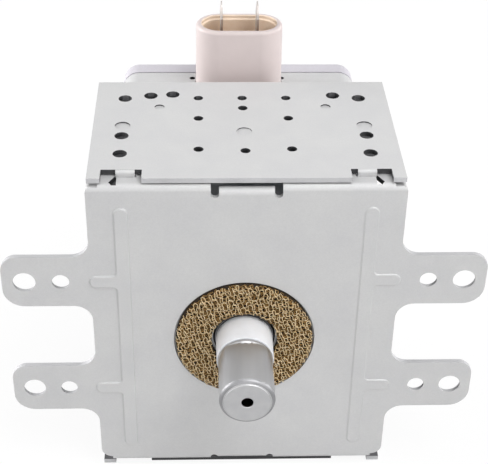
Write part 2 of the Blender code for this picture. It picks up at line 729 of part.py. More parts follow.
def bead_outline(side, width, tip):
    # One raised bead: an upright bar with a finger out towards each ear.
    half, middle = width / 2, BEAD_FROM_MIDDLE
    inset = (BEAD_WIDTH - width) / 2
    low = flange_faces[0] + BEAD_ENDS_BEFORE_FLANGE + inset
    high = flange_faces[1] - BEAD_ENDS_BEFORE_FLANGE - inset
    fillet = BEAD_FILLET + inset
    corners = [(middle - half, low, half), (middle - half, high, half), (middle + half, high, half)]
    for level in reversed(ear_levels):
        corners += [
            (middle + half, level + half, fillet),
            (tip, level + half, half),
            (tip, level - half, half),
            (middle + half, level - half, fillet),
        ]
    corners += [(middle + half, low, half)]
    return [(side * across, up) for across, up in rounded(without_touching(corners), BEAD_ARC_STEP)]


def without_touching(corners):
    # Two corners whose arcs meet end to end keep them a hair apart, so that no side has zero length.
    return [(across, up, radius - WELD_DISTANCE * 2) for across, up, radius in corners]


def bead_mesh(name, side):
    # The bead's front edge is rounded over, and its foot is sunk in the plate.
    foot, front = PLATE_SHEET / 2, -BEAD_HEIGHT
    mesh = prism_mesh(name, [bead_outline(side, BEAD_WIDTH, BEAD_FINGER_TIP)], front, foot)
    bm = bmesh.new()
    bm.from_mesh(mesh)
    top = (foot - front) / 2
    rim = [
        edge for edge in bm.edges
        if all(vert.co.z > top - WELD_DISTANCE for vert in edge.verts)
        and edge.calc_face_angle(0) > SHARP_ANGLE
    ]
    bmesh.ops.bevel(bm, geom=rim, offset=BEAD_EDGE_RADIUS, segments=1, affect="EDGES")
    return mesh_of(bm, name)


def window_outline(side):
    # Hole in a flange: a window for the clinch tongue and a three-cornered relief beside it.
    tip = notch_end - TONGUE_LENGTH * math.cos(TONGUE_TILT) - YOKE_SHEET / 2 * math.sin(TONGUE_TILT)
    front, back = tip - WINDOW_MARGIN, notch_end + SEAT_GAP
    near, far = TONGUE_FROM_MIDDLE - SEAT_GAP, TONGUE_FROM_MIDDLE + TONGUE_WIDTH + SEAT_GAP
    corners = [
        (near, front), (far, front), (far, RELIEF_START), (far + RELIEF_WIDTH, RELIEF_START),
        (far + SEAT_GAP, back), (near, back),
    ]
    return [(side * across, depth) for across, depth in corners]


def slot_outline(side, end, edge):
    # Relief slot beside the middle tab, from its round end out past the plate's edge.
    half, middle = SLOT_WIDTH / 2, side * SLOT_FROM_MIDDLE
    return rounded([
        (middle - half, edge),
        (middle - half, end, half - WELD_DISTANCE * 2),
        (middle + half, end, half - WELD_DISTANCE * 2),
        (middle + half, edge),
    ])


def front_plate():
    inner_slot = SLOT_FROM_MIDDLE - SLOT_WIDTH / 2 + SLOT_BLEND
    outer_slot = SLOT_FROM_MIDDLE + SLOT_WIDTH / 2 - SLOT_BLEND
    half = EAR_TIP + CUT_OVERRUN
    stations = [
        (-half, 0), (-outer_slot, 0), (-inner_slot, MIDDLE_TAB_DROP),
        (inner_slot, MIDDLE_TAB_DROP), (outer_slot, 0), (half, 0),
    ]
    sections = [plate_section(across, drop) for across, drop in stations]
    folded = loft_mesh("front_plate", sections, cap_first=True, cap_last=True)
    plate = piece("front_plate", folded, "zinc_coated_steel")
    through = (-CUT_OVERRUN, FLANGE_DEPTH + CUT_OVERRUN)
    outline = prism_cutter("keep_plate_outline", [plate_outline()], "front", *through)
    combine(plate, "INTERSECT", outline)
    seat = turned_cutter("join_gasket_seat", [
        (0, PLATE_SHEET / 2),
        (gasket_recess_radius + PLATE_SHEET, PLATE_SHEET / 2),
        (gasket_recess_radius + PLATE_SHEET, recess_back),
        (0, recess_back),
    ])
    join(plate, seat)
    for side, name in ((-1, "join_left_bead"), (1, "join_right_bead")):
        mesh = bead_mesh(name, side)
        level = (PLATE_SHEET / 2 - BEAD_HEIGHT) / 2
        join(plate, place(name, mesh, plane_matrix("front", level), cutter=True))
    groove = (BEAD_WIDTH - 2 * BEAD_WALL, BEAD_FINGER_TIP - BEAD_WALL)
    grooves = [bead_outline(side, *groove) for side in (-1, 1)]
    slots = []
    for end, edge in (
        (flange_faces[1] - UPPER_SLOT_DEPTH, yoke_top + CUT_OVERRUN),
        (flange_faces[0] + LOWER_SLOT_DEPTH, yoke_bottom - CUT_OVERRUN),
    ):
        slots += [slot_outline(side, end, edge) for side in (-1, 1)]
    windows = [window_outline(side) for side in (-1, 1)]
    flange_levels = (
        (yoke_bottom, flange_faces[0] + PLATE_SHEET + SEAT_GAP),
        (flange_faces[1] - PLATE_SHEET - SEAT_GAP, yoke_top),
    )
    cut(
        plate,
        pegs("cut_gasket_recess", [(0, 0)], gasket_recess_radius, "front",
             -CUT_OVERRUN, RECESS_DEPTH, RING_SEGMENTS),
        pegs("cut_plate_bore", [(0, 0)], plate_bore_radius, "front", *through, RING_SEGMENTS),
        pegs("cut_bolt_holes", ear_places(BOLT_HOLE_FROM_MIDDLE), BOLT_HOLE_RADIUS, "front",
             *through, SMALL_RING_SEGMENTS),
        pegs("cut_pin_holes", ear_places(PIN_HOLE_FROM_MIDDLE), PIN_HOLE_RADIUS, "front",
             *through, SMALL_RING_SEGMENTS),
        prism_cutter("cut_bead_grooves", grooves, "front", PLATE_SHEET - BEAD_WALL, FLANGE_DEPTH),
        prism_cutter("cut_slots", slots, "front", *through),
        prism_cutter("cut_lower_windows", windows, "top", *flange_levels[0]),
        prism_cutter("cut_upper_windows", windows, "top", *flange_levels[1]),
    )


def ear_places(across):
    return [(side, level) for side in both_ways(across) for level in ear_levels]


def squared(part):
    # Pushes a circle's sine or cosine outwards, towards a square with rounded corners.
    return math.copysign(abs(part) ** GASKET_SQUARENESS, part)


def rf_gasket():
    # Ring of knitted brass wire: a flattened torus whose front face rises and falls with the knit's loops.
    half_width = (GASKET_RADIUS - GASKET_BORE_RADIUS) / 2
    middle_radius = (GASKET_RADIUS + GASKET_BORE_RADIUS) / 2
    half_thickness = GASKET_THICKNESS / 2
    bpy.ops.mesh.primitive_torus_add(
        major_segments=2 * GASKET_LOOPS,
        minor_segments=GASKET_SECTION_POINTS,
        major_radius=middle_radius,
        minor_radius=half_thickness,
    )
    ring = bpy.context.active_object
    mesh = ring.data
    bpy.data.objects.remove(ring, do_unlink=True)
    for vert in mesh.vertices:
        around = math.atan2(vert.co.y, vert.co.x)
        section = math.atan2(vert.co.z, math.hypot(vert.co.x, vert.co.y) - middle_radius)
        outward = squared(math.cos(section))
        forward = squared(math.sin(section))
        loop = round(around / math.pi * GASKET_LOOPS)
        row = round(section / math.pi * GASKET_SECTION_POINTS / 2)
        rise = GASKET_LOOP_HEIGHT * (-1) ** (loop + row) if 0 < row < GASKET_SECTION_POINTS // 2 else 0
        radius = middle_radius + half_width * outward
        vert.co = (
            radius * math.cos(around),
            radius * math.sin(around),
            (half_thickness - GASKET_LOOP_HEIGHT) * forward + rise,
        )
    mesh.name = "rf_gasket"
    # The ring's own axis points forward, out of the mounting face.
    forward_matrix = Matrix.Rotation(math.radians(90), 4, "X")
    forward_matrix.translation = (0, RECESS_DEPTH - SEAT_GAP - half_thickness, 0)
    piece("rf_gasket", mesh, "knitted_brass", forward_matrix)


def output_assembly():
    root, front, edge = CERAMIC_ROOT, -CERAMIC_REACH, CERAMIC_EDGE_RADIUS
    turned_piece("output_ceramic", [
        (CERAMIC_RADIUS - CERAMIC_WALL, root),
        (CERAMIC_RADIUS - edge, root),
        (CERAMIC_RADIUS, root - edge),
        (CERAMIC_RADIUS, front + edge),
        (CERAMIC_RADIUS - edge, front),
        (CERAMIC_RADIUS - CERAMIC_WALL, front),
    ], "alumina")
    base, tip = front - SEAT_GAP, -CAP_REACH
    outer_edge = [
        (
            CAP_RADIUS - CAP_EDGE_RADIUS * (1 - math.sin(angle)),
            tip + CAP_EDGE_RADIUS * (1 - math.cos(angle)),
        )
        for angle in (math.radians(90) * number / 3 for number in range(4))
    ]
    inner_edge = CAP_EDGE_RADIUS - CAP_WALL
    turned_piece("antenna_cap", [
        (VENT_RADIUS, tip),
        *outer_edge,
        (CAP_RADIUS, base),
        (cap_bore_radius, base),
        (cap_bore_radius, tip + CAP_WALL + inner_edge),
        (cap_bore_radius - inner_edge, tip + CAP_WALL),
        (VENT_RADIUS, tip + CAP_WALL),
    ], "drawn_steel")
    seal_radius = cap_bore_radius - SEAT_GAP
    turned_piece("exhaust_seal", [
        (EXHAUST_RADIUS + SEAT_GAP, base),
        (seal_radius, base),
        (seal_radius, base - SEAL_THICKNESS),
        (EXHAUST_RADIUS + SEAT_GAP, base - SEAL_THICKNESS),
    ], "drawn_steel", SMALL_RING_SEGMENTS)
    exhaust_tube(front + EXHAUST_ROOT)
    output_sleeve()


def exhaust_tube(root):
    # Copper pumping tube whose front end is pinched shut over the antenna lead.
    pinch, tip = root - EXHAUST_LENGTH + PINCH_LENGTH, root - EXHAUST_LENGTH
    bore = EXHAUST_RADIUS - EXHAUST_WALL
    mesh = turned_mesh("exhaust_tube", [
        (0, tip), (EXHAUST_RADIUS, tip), (EXHAUST_RADIUS, pinch), (EXHAUST_RADIUS, root),
        (bore, root), (bore, pinch + SEAT_GAP), (0, pinch + SEAT_GAP),
    ], SMALL_RING_SEGMENTS)
    for vert in mesh.vertices:
        if vert.co.z < pinch - WELD_DISTANCE:
            vert.co.x *= PINCH_WIDTH / 2 / EXHAUST_RADIUS
            vert.co.y *= PINCH_THICKNESS / 2 / EXHAUST_RADIUS
    piece("exhaust_tube", mesh, "copper", along_depth)


def output_sleeve():
    # Iron sleeve brazed on the front pole, through the magnet's bore, necked in to the ceramic.
    neck_end = sleeve_front_end + SLEEVE_NECK_LENGTH
    sheet = SLEEVE_SHEET
    turned_piece("output_sleeve", [
        (SLEEVE_NECK_RADIUS, sleeve_front_end),
        (SLEEVE_NECK_RADIUS, neck_end),
        (SLEEVE_RADIUS, neck_end + SLEEVE_SHOULDER),
        (SLEEVE_RADIUS, sleeve_root - sheet),
        (SLEEVE_FLANGE_RADIUS, sleeve_root - sheet),
        (SLEEVE_FLANGE_RADIUS, sleeve_root),
        (SLEEVE_RADIUS - sheet, sleeve_root),
        (SLEEVE_RADIUS - sheet, neck_end + SLEEVE_SHOULDER + sheet / 2),
        (SLEEVE_NECK_RADIUS - sheet, neck_end + sheet / 2),
        (SLEEVE_NECK_RADIUS - sheet, sleeve_front_end),
    ], "soft_iron")


def stem_sleeve():
    # The same sleeve behind the anode, through the rear magnet and both walls to the stem's ceramic.
    sheet = SLEEVE_SHEET
    root = 2 * anode_middle - sleeve_root
    neck_start = stem_end - SLEEVE_NECK_LENGTH
    turned_piece("stem_sleeve", [
        (SLEEVE_FLANGE_RADIUS, root),
        (SLEEVE_FLANGE_RADIUS, root + sheet),
        (SLEEVE_RADIUS, root + sheet),
        (SLEEVE_RADIUS, neck_start - SLEEVE_SHOULDER),
        (SLEEVE_NECK_RADIUS, neck_start),
        (SLEEVE_NECK_RADIUS, stem_end),
        (SLEEVE_NECK_RADIUS - sheet, stem_end),
        (SLEEVE_NECK_RADIUS - sheet, neck_start - sheet / 2),
        (SLEEVE_RADIUS - sheet, neck_start - SLEEVE_SHOULDER - sheet / 2),
        (SLEEVE_RADIUS - sheet, root),
    ], "soft_iron")


def magnet(name, depths):
    front, back = depths
    chamfer = MAGNET_CHAMFER
    turned_piece(name, [
        (MAGNET_BORE_RADIUS, front),
        (MAGNET_RADIUS - chamfer, front),
        (MAGNET_RADIUS, front + chamfer),
        (MAGNET_RADIUS, back - chamfer),
        (MAGNET_RADIUS - chamfer, back),
        (MAGNET_BORE_RADIUS, back),
    ], "ferrite")


def pole_profile():
    rim, hub = pole_rim, pole_rim + POLE_DISH_DEPTH
    return [
        (POLE_BORE_RADIUS, hub),
        (POLE_HUB_RADIUS, hub),
        (POLE_CONE_RADIUS, rim),
        (pole_radius, rim),
        (pole_radius, rim + POLE_SHEET),
        (POLE_CONE_RADIUS + POLE_SHEET / 4, rim + POLE_SHEET),
        (POLE_HUB_RADIUS + POLE_SHEET / 4, hub + POLE_SHEET),
        (POLE_BORE_RADIUS, hub + POLE_SHEET),
    ]


def anode_block():
    front, back = anode_depths
    step = POLE_SUNK + POLE_SHEET + SEAT_GAP
    seat_radius = anode_bore_radius + ANODE_STEP
    turned_piece("anode_cylinder", [
        (ANODE_RADIUS, front),
        (ANODE_RADIUS, back),
        (seat_radius, back),
        (seat_radius, back - step),
        (anode_bore_radius, back - step),
        (anode_bore_radius, front + step),
        (seat_radius, front + step),
        (seat_radius, front),
    ], "copper")
    profile = pole_profile()
    front_pole = turned_piece("front_pole_piece", profile, "soft_iron")
    cut(front_pole, pegs("cut_antenna_hole", [(0, ANTENNA_LEAD_PASS)], ANTENNA_HOLE_RADIUS, "front",
                         anode_depths[0], vane_depths[0]))
    mirror_profile = [(radius, 2 * anode_middle - depth) for radius, depth in profile]
    turned_piece("rear_pole_piece", mirror_profile, "soft_iron")
    vanes()
    for which, inner in (("inner", INNER_STRAP_RADIUS), ("outer", OUTER_STRAP_RADIUS)):
        outer = inner + STRAP_WIDTH
        for where, face, sunk in (
            ("front", vane_depths[0], STRAP_THICKNESS),
            ("rear", vane_depths[1], -STRAP_THICKNESS),
        ):
            profile = [(inner, face), (outer, face), (outer, face + sunk), (inner, face + sunk)]
            turned_piece(where + "_" + which + "_strap", profile, "copper", SMALL_RING_SEGMENTS)


def vane_outline():
    # A vane seen from the side: a plate from the anode's wall to its tip, with a strap slot in each end.
    low, high = vane_depths
    outer = anode_bore_radius - SEAT_GAP
    slot_near, slot_far = INNER_STRAP_RADIUS - SEAT_GAP, OUTER_STRAP_RADIUS + STRAP_WIDTH + SEAT_GAP
    deep = STRAP_THICKNESS + SEAT_GAP
    return [
        (VANE_TIP_RADIUS, low), (slot_near, low), (slot_near, low + deep), (slot_far, low + deep),
        (slot_far, low), (outer, low), (outer, high), (slot_far, high), (slot_far, high - deep),
        (slot_near, high - deep), (slot_near, high), (VANE_TIP_RADIUS, high),
    ]


def vanes():
    # The first vane points straight up, where the antenna lead is brazed to it.
    mesh = prism_mesh("vane", [vane_outline()], -VANE_THICKNESS / 2, VANE_THICKNESS / 2)
    mesh.materials.append(finish_material("vane", "copper"))
    for number in range(VANE_COUNT):
        angle = math.radians(-90) + math.radians(360) * number / VANE_COUNT
        place("vane_" + str(number + 1), mesh, Matrix.Rotation(angle, 4, "Y"))


def cathode():
    front_hat = vane_depths[0] - END_HAT_LIP
    rear_hat = vane_depths[1] + END_HAT_LIP
    turned_piece("front_end_hat", [
        (LEAD_RADIUS + SEAT_GAP, front_hat - END_HAT_THICKNESS),
        (END_HAT_RADIUS, front_hat - END_HAT_THICKNESS),
        (END_HAT_RADIUS, front_hat),
        (LEAD_RADIUS + SEAT_GAP, front_hat),
    ], "molybdenum", HOLE_SEGMENTS)
    rear = turned_piece("rear_end_hat", [
        (REAR_HAT_BORE_RADIUS, rear_hat),
        (END_HAT_RADIUS, rear_hat),
        (END_HAT_RADIUS, rear_hat + END_HAT_THICKNESS),
        (REAR_HAT_BORE_RADIUS, rear_hat + END_HAT_THICKNESS),
    ], "molybdenum", HOLE_SEGMENTS)
    span = (front_hat + SEAT_GAP + FILAMENT_WIRE_RADIUS, rear_hat - SEAT_GAP - FILAMENT_WIRE_RADIUS)
    count = FILAMENT_TURNS * WIRE_POINTS_PER_TURN
    coil = []
    for number in range(count + 1):
        angle = math.radians(360) * number / WIRE_POINTS_PER_TURN
        depth = span[0] + (span[1] - span[0]) * number / count
        coil.append((FILAMENT_RADIUS * math.cos(angle), depth, FILAMENT_RADIUS * math.sin(angle)))
    wire("filament", coil, FILAMENT_WIRE_RADIUS, "tungsten")
    spread_start = rear_hat + END_HAT_THICKNESS + vane_height / 2
    spread_end = stem_ceramic_depths[0] - LEAD_SPACING / 2
    lead_end = stem_terminal_depths[1] + SEAT_GAP
    across = LEAD_SPACING / 2
    wire("centre_lead", bent([
        (0, front_hat - END_HAT_THICKNESS - SEAT_GAP, 0),
        (0, spread_start, 0), (across, spread_end, 0), (across, lead_end, 0),
    ], LEAD_SPACING / 2), LEAD_RADIUS, "molybdenum")
    wire("side_lead", bent([
        (-SIDE_LEAD_OFFSET, rear_hat + END_HAT_THICKNESS + SEAT_GAP, 0),
        (-SIDE_LEAD_OFFSET, spread_start, 0), (-across, spread_end, 0), (-across, lead_end, 0),
    ], LEAD_SPACING / 2), LEAD_RADIUS, "molybdenum")
    stem()


def stem():
    # Ceramic that closes the tube behind, and the two metal tabs that its leads pass through.
    front, back = stem_ceramic_depths
    bores = [(across, 0) for across in both_ways(LEAD_SPACING / 2)]
    through = (front - CUT_OVERRUN, stem_terminal_depths[1] + CUT_OVERRUN)
    ceramic = turned_piece("stem_ceramic", [
        (0, front), (CERAMIC_RADIUS, front), (CERAMIC_RADIUS, back - CERAMIC_WALL),
        (CERAMIC_RADIUS - CERAMIC_WALL, back), (0, back),
    ], "alumina", SMALL_RING_SEGMENTS)
    lead_bores = pegs("cut_lead_bores", bores, LEAD_BORE_RADIUS, "front", *through)
    cut(ceramic, lead_bores)
    for side, name in ((-1, "left_stem_terminal"), (1, "right_stem_terminal")):
        middle = side * LEAD_SPACING / 2
        outline = [
            (middle + across, up)
            for across, up in rectangle(STEM_TERMINAL_WIDTH, STEM_TERMINAL_HEIGHT, STEM_TERMINAL_RADIUS)
        ]
        tab = prism_piece(name, [outline], "front", *stem_terminal_depths, "tinned_brass")
        cut(tab, lead_bores)


def antenna_lead():
    # Copper rod from the edge of the top vane, through the front pole, to the pinched end of the tube.
    rise = vane_depths[0] - SEAT_GAP - ANTENNA_LEAD_RADIUS
    magnet_middle = (front_magnet_depths[0] + front_magnet_depths[1]) / 2
    pinch = EXHAUST_ROOT - CERAMIC_REACH - EXHAUST_LENGTH + PINCH_LENGTH
    wire("antenna_lead", bent([
        (0, rise, ANTENNA_LEAD_FOOT),
        (0, rise, ANTENNA_LEAD_PASS),
        (0, sleeve_root - SLEEVE_SHEET, ANTENNA_LEAD_PASS),
        (0, magnet_middle, 0),
        (0, pinch + 3 * SEAT_GAP, 0),
    ], ANTENNA_LEAD_RADIUS * 2), ANTENNA_LEAD_RADIUS, "copper")


def cooling_fins():
    low, high = arm_faces[0] + SEAT_GAP + FIN_SHEET / 2, arm_faces[1] - SEAT_GAP - FIN_SHEET / 2
    collar_radius = ANODE_RADIUS + SEAT_GAP + FIN_SHEET
    collar_length = fin_pitch_at_anode * FIN_COLLAR_SHARE_OF_PITCH
    first, last = fanned_fin_depths
    for number in range(FIN_COUNT):
        share = number / (FIN_COUNT - 1)
        flat = anode_middle + (number - (FIN_COUNT - 1) / 2) * fin_pitch_at_anode
        fanned = first + (last - first) * share
        path = [
            (fanned + FIN_FOOT, low), (fanned, low), (fanned, -FIN_FAN_HALF), (flat, -FIN_FLAT_HALF),
            (flat, FIN_FLAT_HALF), (fanned, FIN_FAN_HALF), (fanned, high), (fanned + FIN_FOOT, high),
        ]
        name = "cooling_fin_" + str(number + 1)
        outline = strip(path, FIN_SHEET)
        fin = prism_piece(name, [outline], "side", -FIN_WIDTH / 2, FIN_WIDTH / 2, "aluminium_fin")
        collar = pegs("join_collar_" + str(number + 1), [(0, 0)], collar_radius, "front",
                      flat - FIN_SHEET / 4, flat + collar_length, RING_SEGMENTS)
        join(fin, collar)
        bore = pegs("cut_fin_bore_" + str(number + 1), [(0, 0)], ANODE_RADIUS + SEAT_GAP, "front",
                    flat - CUT_OVERRUN, flat + CUT_OVERRUN, RING_SEGMENTS)
        cut(fin, bore)


def box_section(depth, inset):
    outline = rectangle(BOX_WIDTH, BOX_HEIGHT, BOX_CORNER_RADIUS, inset)
    return [(across, depth, box_middle + up) for across, up in outline]


def quarter_bend(radius, steps=2):
    # Rises and insets of a rounded edge, from its face round to its side.
    angles = [math.radians(90) * number / steps for number in range(steps + 1)]
    return [(radius * (1 - math.cos(angle)), radius * (1 - math.sin(angle))) for angle in angles]


def sheet_shell(name, sections, finish):
    # Sections from the closed face to the open rim, with the sheet's thickness laid inwards.
    mesh = loft_mesh(name, sections, cap_first=True)
    shell = piece(name, mesh, finish)
    thicken = shell.modifiers.new("Sheet", "SOLIDIFY")
    thicken.thickness = BOX_SHEET
    thicken.offset = -1
    thicken.use_even_offset = True
    return shell


def filter_box():
    joggle = BOX_SHEET + SEAT_GAP
    skirt_front = box_back - LID_SKIRT
    joggle_end = skirt_front - JOGGLE_BEFORE_SKIRT
    sections = [box_section(box_front + rise, inset) for rise, inset in quarter_bend(BOX_FRONT_RADIUS)]
    sections += [
        box_section(joggle_end - JOGGLE_LENGTH, 0),
        box_section(joggle_end, joggle),
        box_section(box_rim, joggle),
    ]
    box = sheet_shell("filter_box", sections, "zinc_coated_steel")
    wall = (box_front - CUT_OVERRUN, box_front + CUT_OVERRUN)
    top = (box_top - CUT_OVERRUN, box_top + CUT_OVERRUN)
    opening = around_case(stadium(CASE_WIDTH, CASE_DEPTH, -SEAT_GAP))
    cut(
        box,
        pegs("cut_box_stem_bore", [(0, 0)], wall_bore_radius, "front", *wall, RING_SEGMENTS),
        pegs("cut_box_rivet_holes", rivet_places(), rivet_hole_radius, "front", *wall),
        prism_cutter("cut_case_opening", [opening], "top", *top),
        pegs("cut_locating_holes", locating_places(), LOCATING_HOLE_RADIUS, "top", *top),
    )
    lid_sections = [box_section(box_back - rise, inset) for rise, inset in quarter_bend(LID_EDGE_RADIUS)]
    sheet_shell("filter_lid", lid_sections + [box_section(skirt_front, 0)], "zinc_coated_steel")


def around_case(outline):
    return [(case_middle[0] + across, case_middle[1] + deep) for across, deep in outline]


def locating_places():
    behind = LOCATING_HOLE_BEHIND_CASE_MIDDLE
    return around_case([(across, behind) for across in both_ways(LOCATING_HOLE_FROM_CASE_MIDDLE)])


def box_rivets():
    # Each rivet clamps the filter box to the yoke's rear wall between its two heads.
    head, edge = RIVET_HEAD_RADIUS, RIVET_HEAD_EDGE
    front, back = rear_wall_face - SEAT_GAP, box_front + BOX_SHEET + SEAT_GAP
    mesh = turned_mesh("box_rivet", [
        (0, front - RIVET_HEAD_THICKNESS),
        (head - edge, front - RIVET_HEAD_THICKNESS),
        (head, front - RIVET_HEAD_THICKNESS + edge),
        (head, front),
        (RIVET_RADIUS, front),
        (RIVET_RADIUS, back),
        (head, back),
        (head, back + RIVET_HEAD_THICKNESS - edge),
        (head - edge, back + RIVET_HEAD_THICKNESS),
        (0, back + RIVET_HEAD_THICKNESS),
    ], HOLE_SEGMENTS)
    mesh.materials.append(finish_material("box_rivet", "drawn_steel"))
    for number, (across, up) in enumerate(rivet_places()):
        matrix = Matrix.Translation((across, 0, up)) @ along_depth
        place("box_rivet_" + str(number + 1), mesh, matrix)


def case_section(level, inset):
    return [(across, deep, level) for across, deep in around_case(stadium(CASE_WIDTH, CASE_DEPTH, inset))]


def connector_case():
    # Moulded tube round the spade terminals, drawn in towards its rounded rim, with a ledge inside.
    outer = [(case_bottom, 0), (case_top - CASE_RIM_RADIUS, CASE_DRAFT)]
    rim = [
        (case_top - rise, CASE_DRAFT + inset)
        for rise, inset in reversed(quarter_bend(CASE_RIM_RADIUS))
    ]
    ledge = case_top - SOCKET_LEDGE_DEPTH
    inner = [
        (case_top, CASE_WALL - SOCKET_LEDGE),
        (ledge, CASE_WALL - SOCKET_LEDGE),
        (ledge - SOCKET_LEDGE, CASE_WALL),
        (case_bottom, CASE_WALL),
    ]
    sections = [case_section(level, inset) for level, inset in outer + rim[1:] + inner]
    piece("connector_case", loft_mesh("connector_case", sections, closed=True), "case_plastic")


def capacitor():
    inset = CASE_WALL + SEAT_GAP
    floor, bottom, chamfer = socket_floor, capacitor_bottom, CAPACITOR_CHAMFER
    levels = [(floor, inset), (bottom + chamfer, inset), (bottom, inset + chamfer)]
    sections = [case_section(level, reach) for level, reach in levels]
    mesh = loft_mesh("capacitor_body", sections, cap_first=True, cap_last=True)
    body = piece("capacitor_body", mesh, "cast_epoxy")
    plate_hole = around_case(stadium(CASE_WIDTH, CASE_DEPTH, inset - SEAT_GAP))
    plate_edge = around_case(
        rectangle(CAPACITOR_PLATE_WIDTH, CAPACITOR_PLATE_DEPTH, CAPACITOR_PLATE_CORNER)
    )
    levels = (capacitor_plate_top - CAPACITOR_PLATE_SHEET, capacitor_plate_top)
    through = (levels[0] - CUT_OVERRUN, levels[1] + CUT_OVERRUN)
    plate = prism_piece("capacitor_plate", [plate_edge], "top", *levels, "zinc_coated_steel")
    cut(
        plate,
        prism_cutter("cut_plate_opening", [plate_hole], "top", *through),
        pegs("cut_plate_locating_holes", locating_places(), LOCATING_HOLE_RADIUS, "top", *through),
    )
    spades(body)


def spade_outline():
    # A spade terminal seen from the side: pointed blade, shoulders in the body, and a narrow tail below.
    half, tail, tip = SPADE_WIDTH / 2, SPADE_TAIL_WIDTH / 2, SPADE_TIP_WIDTH / 2
    foot = socket_floor - SPADE_FOOT
    end = capacitor_bottom - SPADE_TAIL_BELOW_BODY
    corners = [
        (-tail, end), (tail, end), (tail, foot), (half, foot), (half, spade_tip - SPADE_POINT),
        (tip, spade_tip), (-tip, spade_tip), (-half, spade_tip - SPADE_POINT), (-half, foot),
        (-tail, foot),
    ]
    return [(case_middle[1] + deep, up) for deep, up in corners]


def spades(body):
    gap = SEAT_GAP
    half, tail = SPADE_WIDTH / 2 + gap, SPADE_TAIL_WIDTH / 2 + gap
    foot = socket_floor - SPADE_FOOT - gap
    pocket = [
        (-tail, capacitor_bottom - CUT_OVERRUN), (tail, capacitor_bottom - CUT_OVERRUN), (tail, foot),
        (half, foot), (half, socket_floor + CUT_OVERRUN), (-half, socket_floor + CUT_OVERRUN),
        (-half, foot), (-tail, foot),
    ]
    pocket = [(case_middle[1] + deep, up) for deep, up in pocket]
    detent = [(case_middle[1], spade_tip - SPADE_DETENT_BELOW_TIP)]
    for side, name in ((-1, "left_spade"), (1, "right_spade")):
        middle = case_middle[0] + side * SPADE_SPACING / 2
        low, high = middle - SPADE_SHEET / 2, middle + SPADE_SHEET / 2
        blade = prism_piece(name, [spade_outline()], "side", low, high, "tinned_brass")
        cut(blade, pegs("cut_detent_" + name, detent, SPADE_DETENT_RADIUS, "side", low - gap, high + gap))
        cut(body, prism_cutter("cut_pocket_" + name, [pocket], "side", low - gap, high + gap))


def chokes():
    # Each choke runs from a stem terminal, round its ferrite rod, up to a spade's tail.
    middle = CHOKE_MIDDLE_BELOW_AXIS
    coil_height = CHOKE_TURNS * CHOKE_PITCH
    low, high = -middle - coil_height / 2, -middle + coil_height / 2
    coil_radius = CHOKE_CORE_RADIUS + SEAT_GAP + CHOKE_WIRE_RADIUS
    rod_end, chamfer = CHOKE_CORE_LENGTH / 2, CHOKE_CORE_CHAMFER
    rod = turned_mesh("choke_core", [
        (0, -rod_end), (CHOKE_CORE_RADIUS - chamfer, -rod_end), (CHOKE_CORE_RADIUS, -rod_end + chamfer),
        (CHOKE_CORE_RADIUS, rod_end - chamfer), (CHOKE_CORE_RADIUS - chamfer, rod_end), (0, rod_end),
    ], HOLE_SEGMENTS)
    rod.materials.append(finish_material("choke_core", "ferrite"))
    depth = case_middle[1]
    tab_back = stem_terminal_depths[1] + SEAT_GAP + CHOKE_WIRE_RADIUS
    tail_end = capacitor_bottom - SPADE_TAIL_BELOW_BODY
    for side, place_name in ((-1, "left"), (1, "right")):
        across = side * CHOKE_FROM_MIDDLE
        beside_tail = SPADE_SPACING / 2 + SPADE_SHEET / 2 + SEAT_GAP + CHOKE_WIRE_RADIUS
        tail = case_middle[0] + side * beside_tail
        tab = side * (LEAD_SPACING / 2 + LEAD_BORE_RADIUS + CHOKE_WIRE_RADIUS)
        place(place_name + "_choke_core", rod, Matrix.Translation((across, depth, -middle)))
        turns = []
        count = CHOKE_TURNS * WIRE_POINTS_PER_TURN
        for number in range(count + 1):
            angle = math.radians(180) + math.radians(360) * number / WIRE_POINTS_PER_TURN
            turns.append((
                across + side * coil_radius * math.cos(angle),
                depth + coil_radius * math.sin(angle),
                low + coil_height * number / count,
            ))
        near = turns[0][0]
        start = bent([
            (tab, tab_back, CHOKE_WIRE_RADIUS), (tab, tab_back, low - CHOKE_BEND),
            (near, depth, low - CHOKE_BEND), turns[0],
        ], CHOKE_BEND)
        end = bent([
            turns[-1], (near, depth, high + CHOKE_BEND), (tail, depth, tail_end - SEAT_GAP),
            (tail, depth, tail_end + SPADE_TAIL_BELOW_BODY - CHOKE_WIRE_RADIUS),
        ], CHOKE_BEND)
        wire(place_name + "_choke_coil", start[:-1] + turns + end[1:], CHOKE_WIRE_RADIUS, "enamelled_copper")


clear_scene()
pieces = new_collection("magnetron")
cutters = new_collection("cutters")
carrier = bpy.data.objects.new("mounting_point", None)
pieces.objects.link(carrier)
carrier.location = (0, (CAP_REACH - box_back) / 2, -yoke_bottom)

yoke_frame()
front_plate()
rf_gasket()
output_assembly()
antenna_lead()
magnet("front_magnet", front_magnet_depths)
magnet("rear_magnet", rear_magnet_depths)
anode_block()
cathode()
stem_sleeve()
cooling_fins()
filter_box()
box_rivets()
connector_case()
capacitor()
chokes()
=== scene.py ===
import math
import random

import bmesh
import bpy
from mathutils import Matrix, Vector, noise


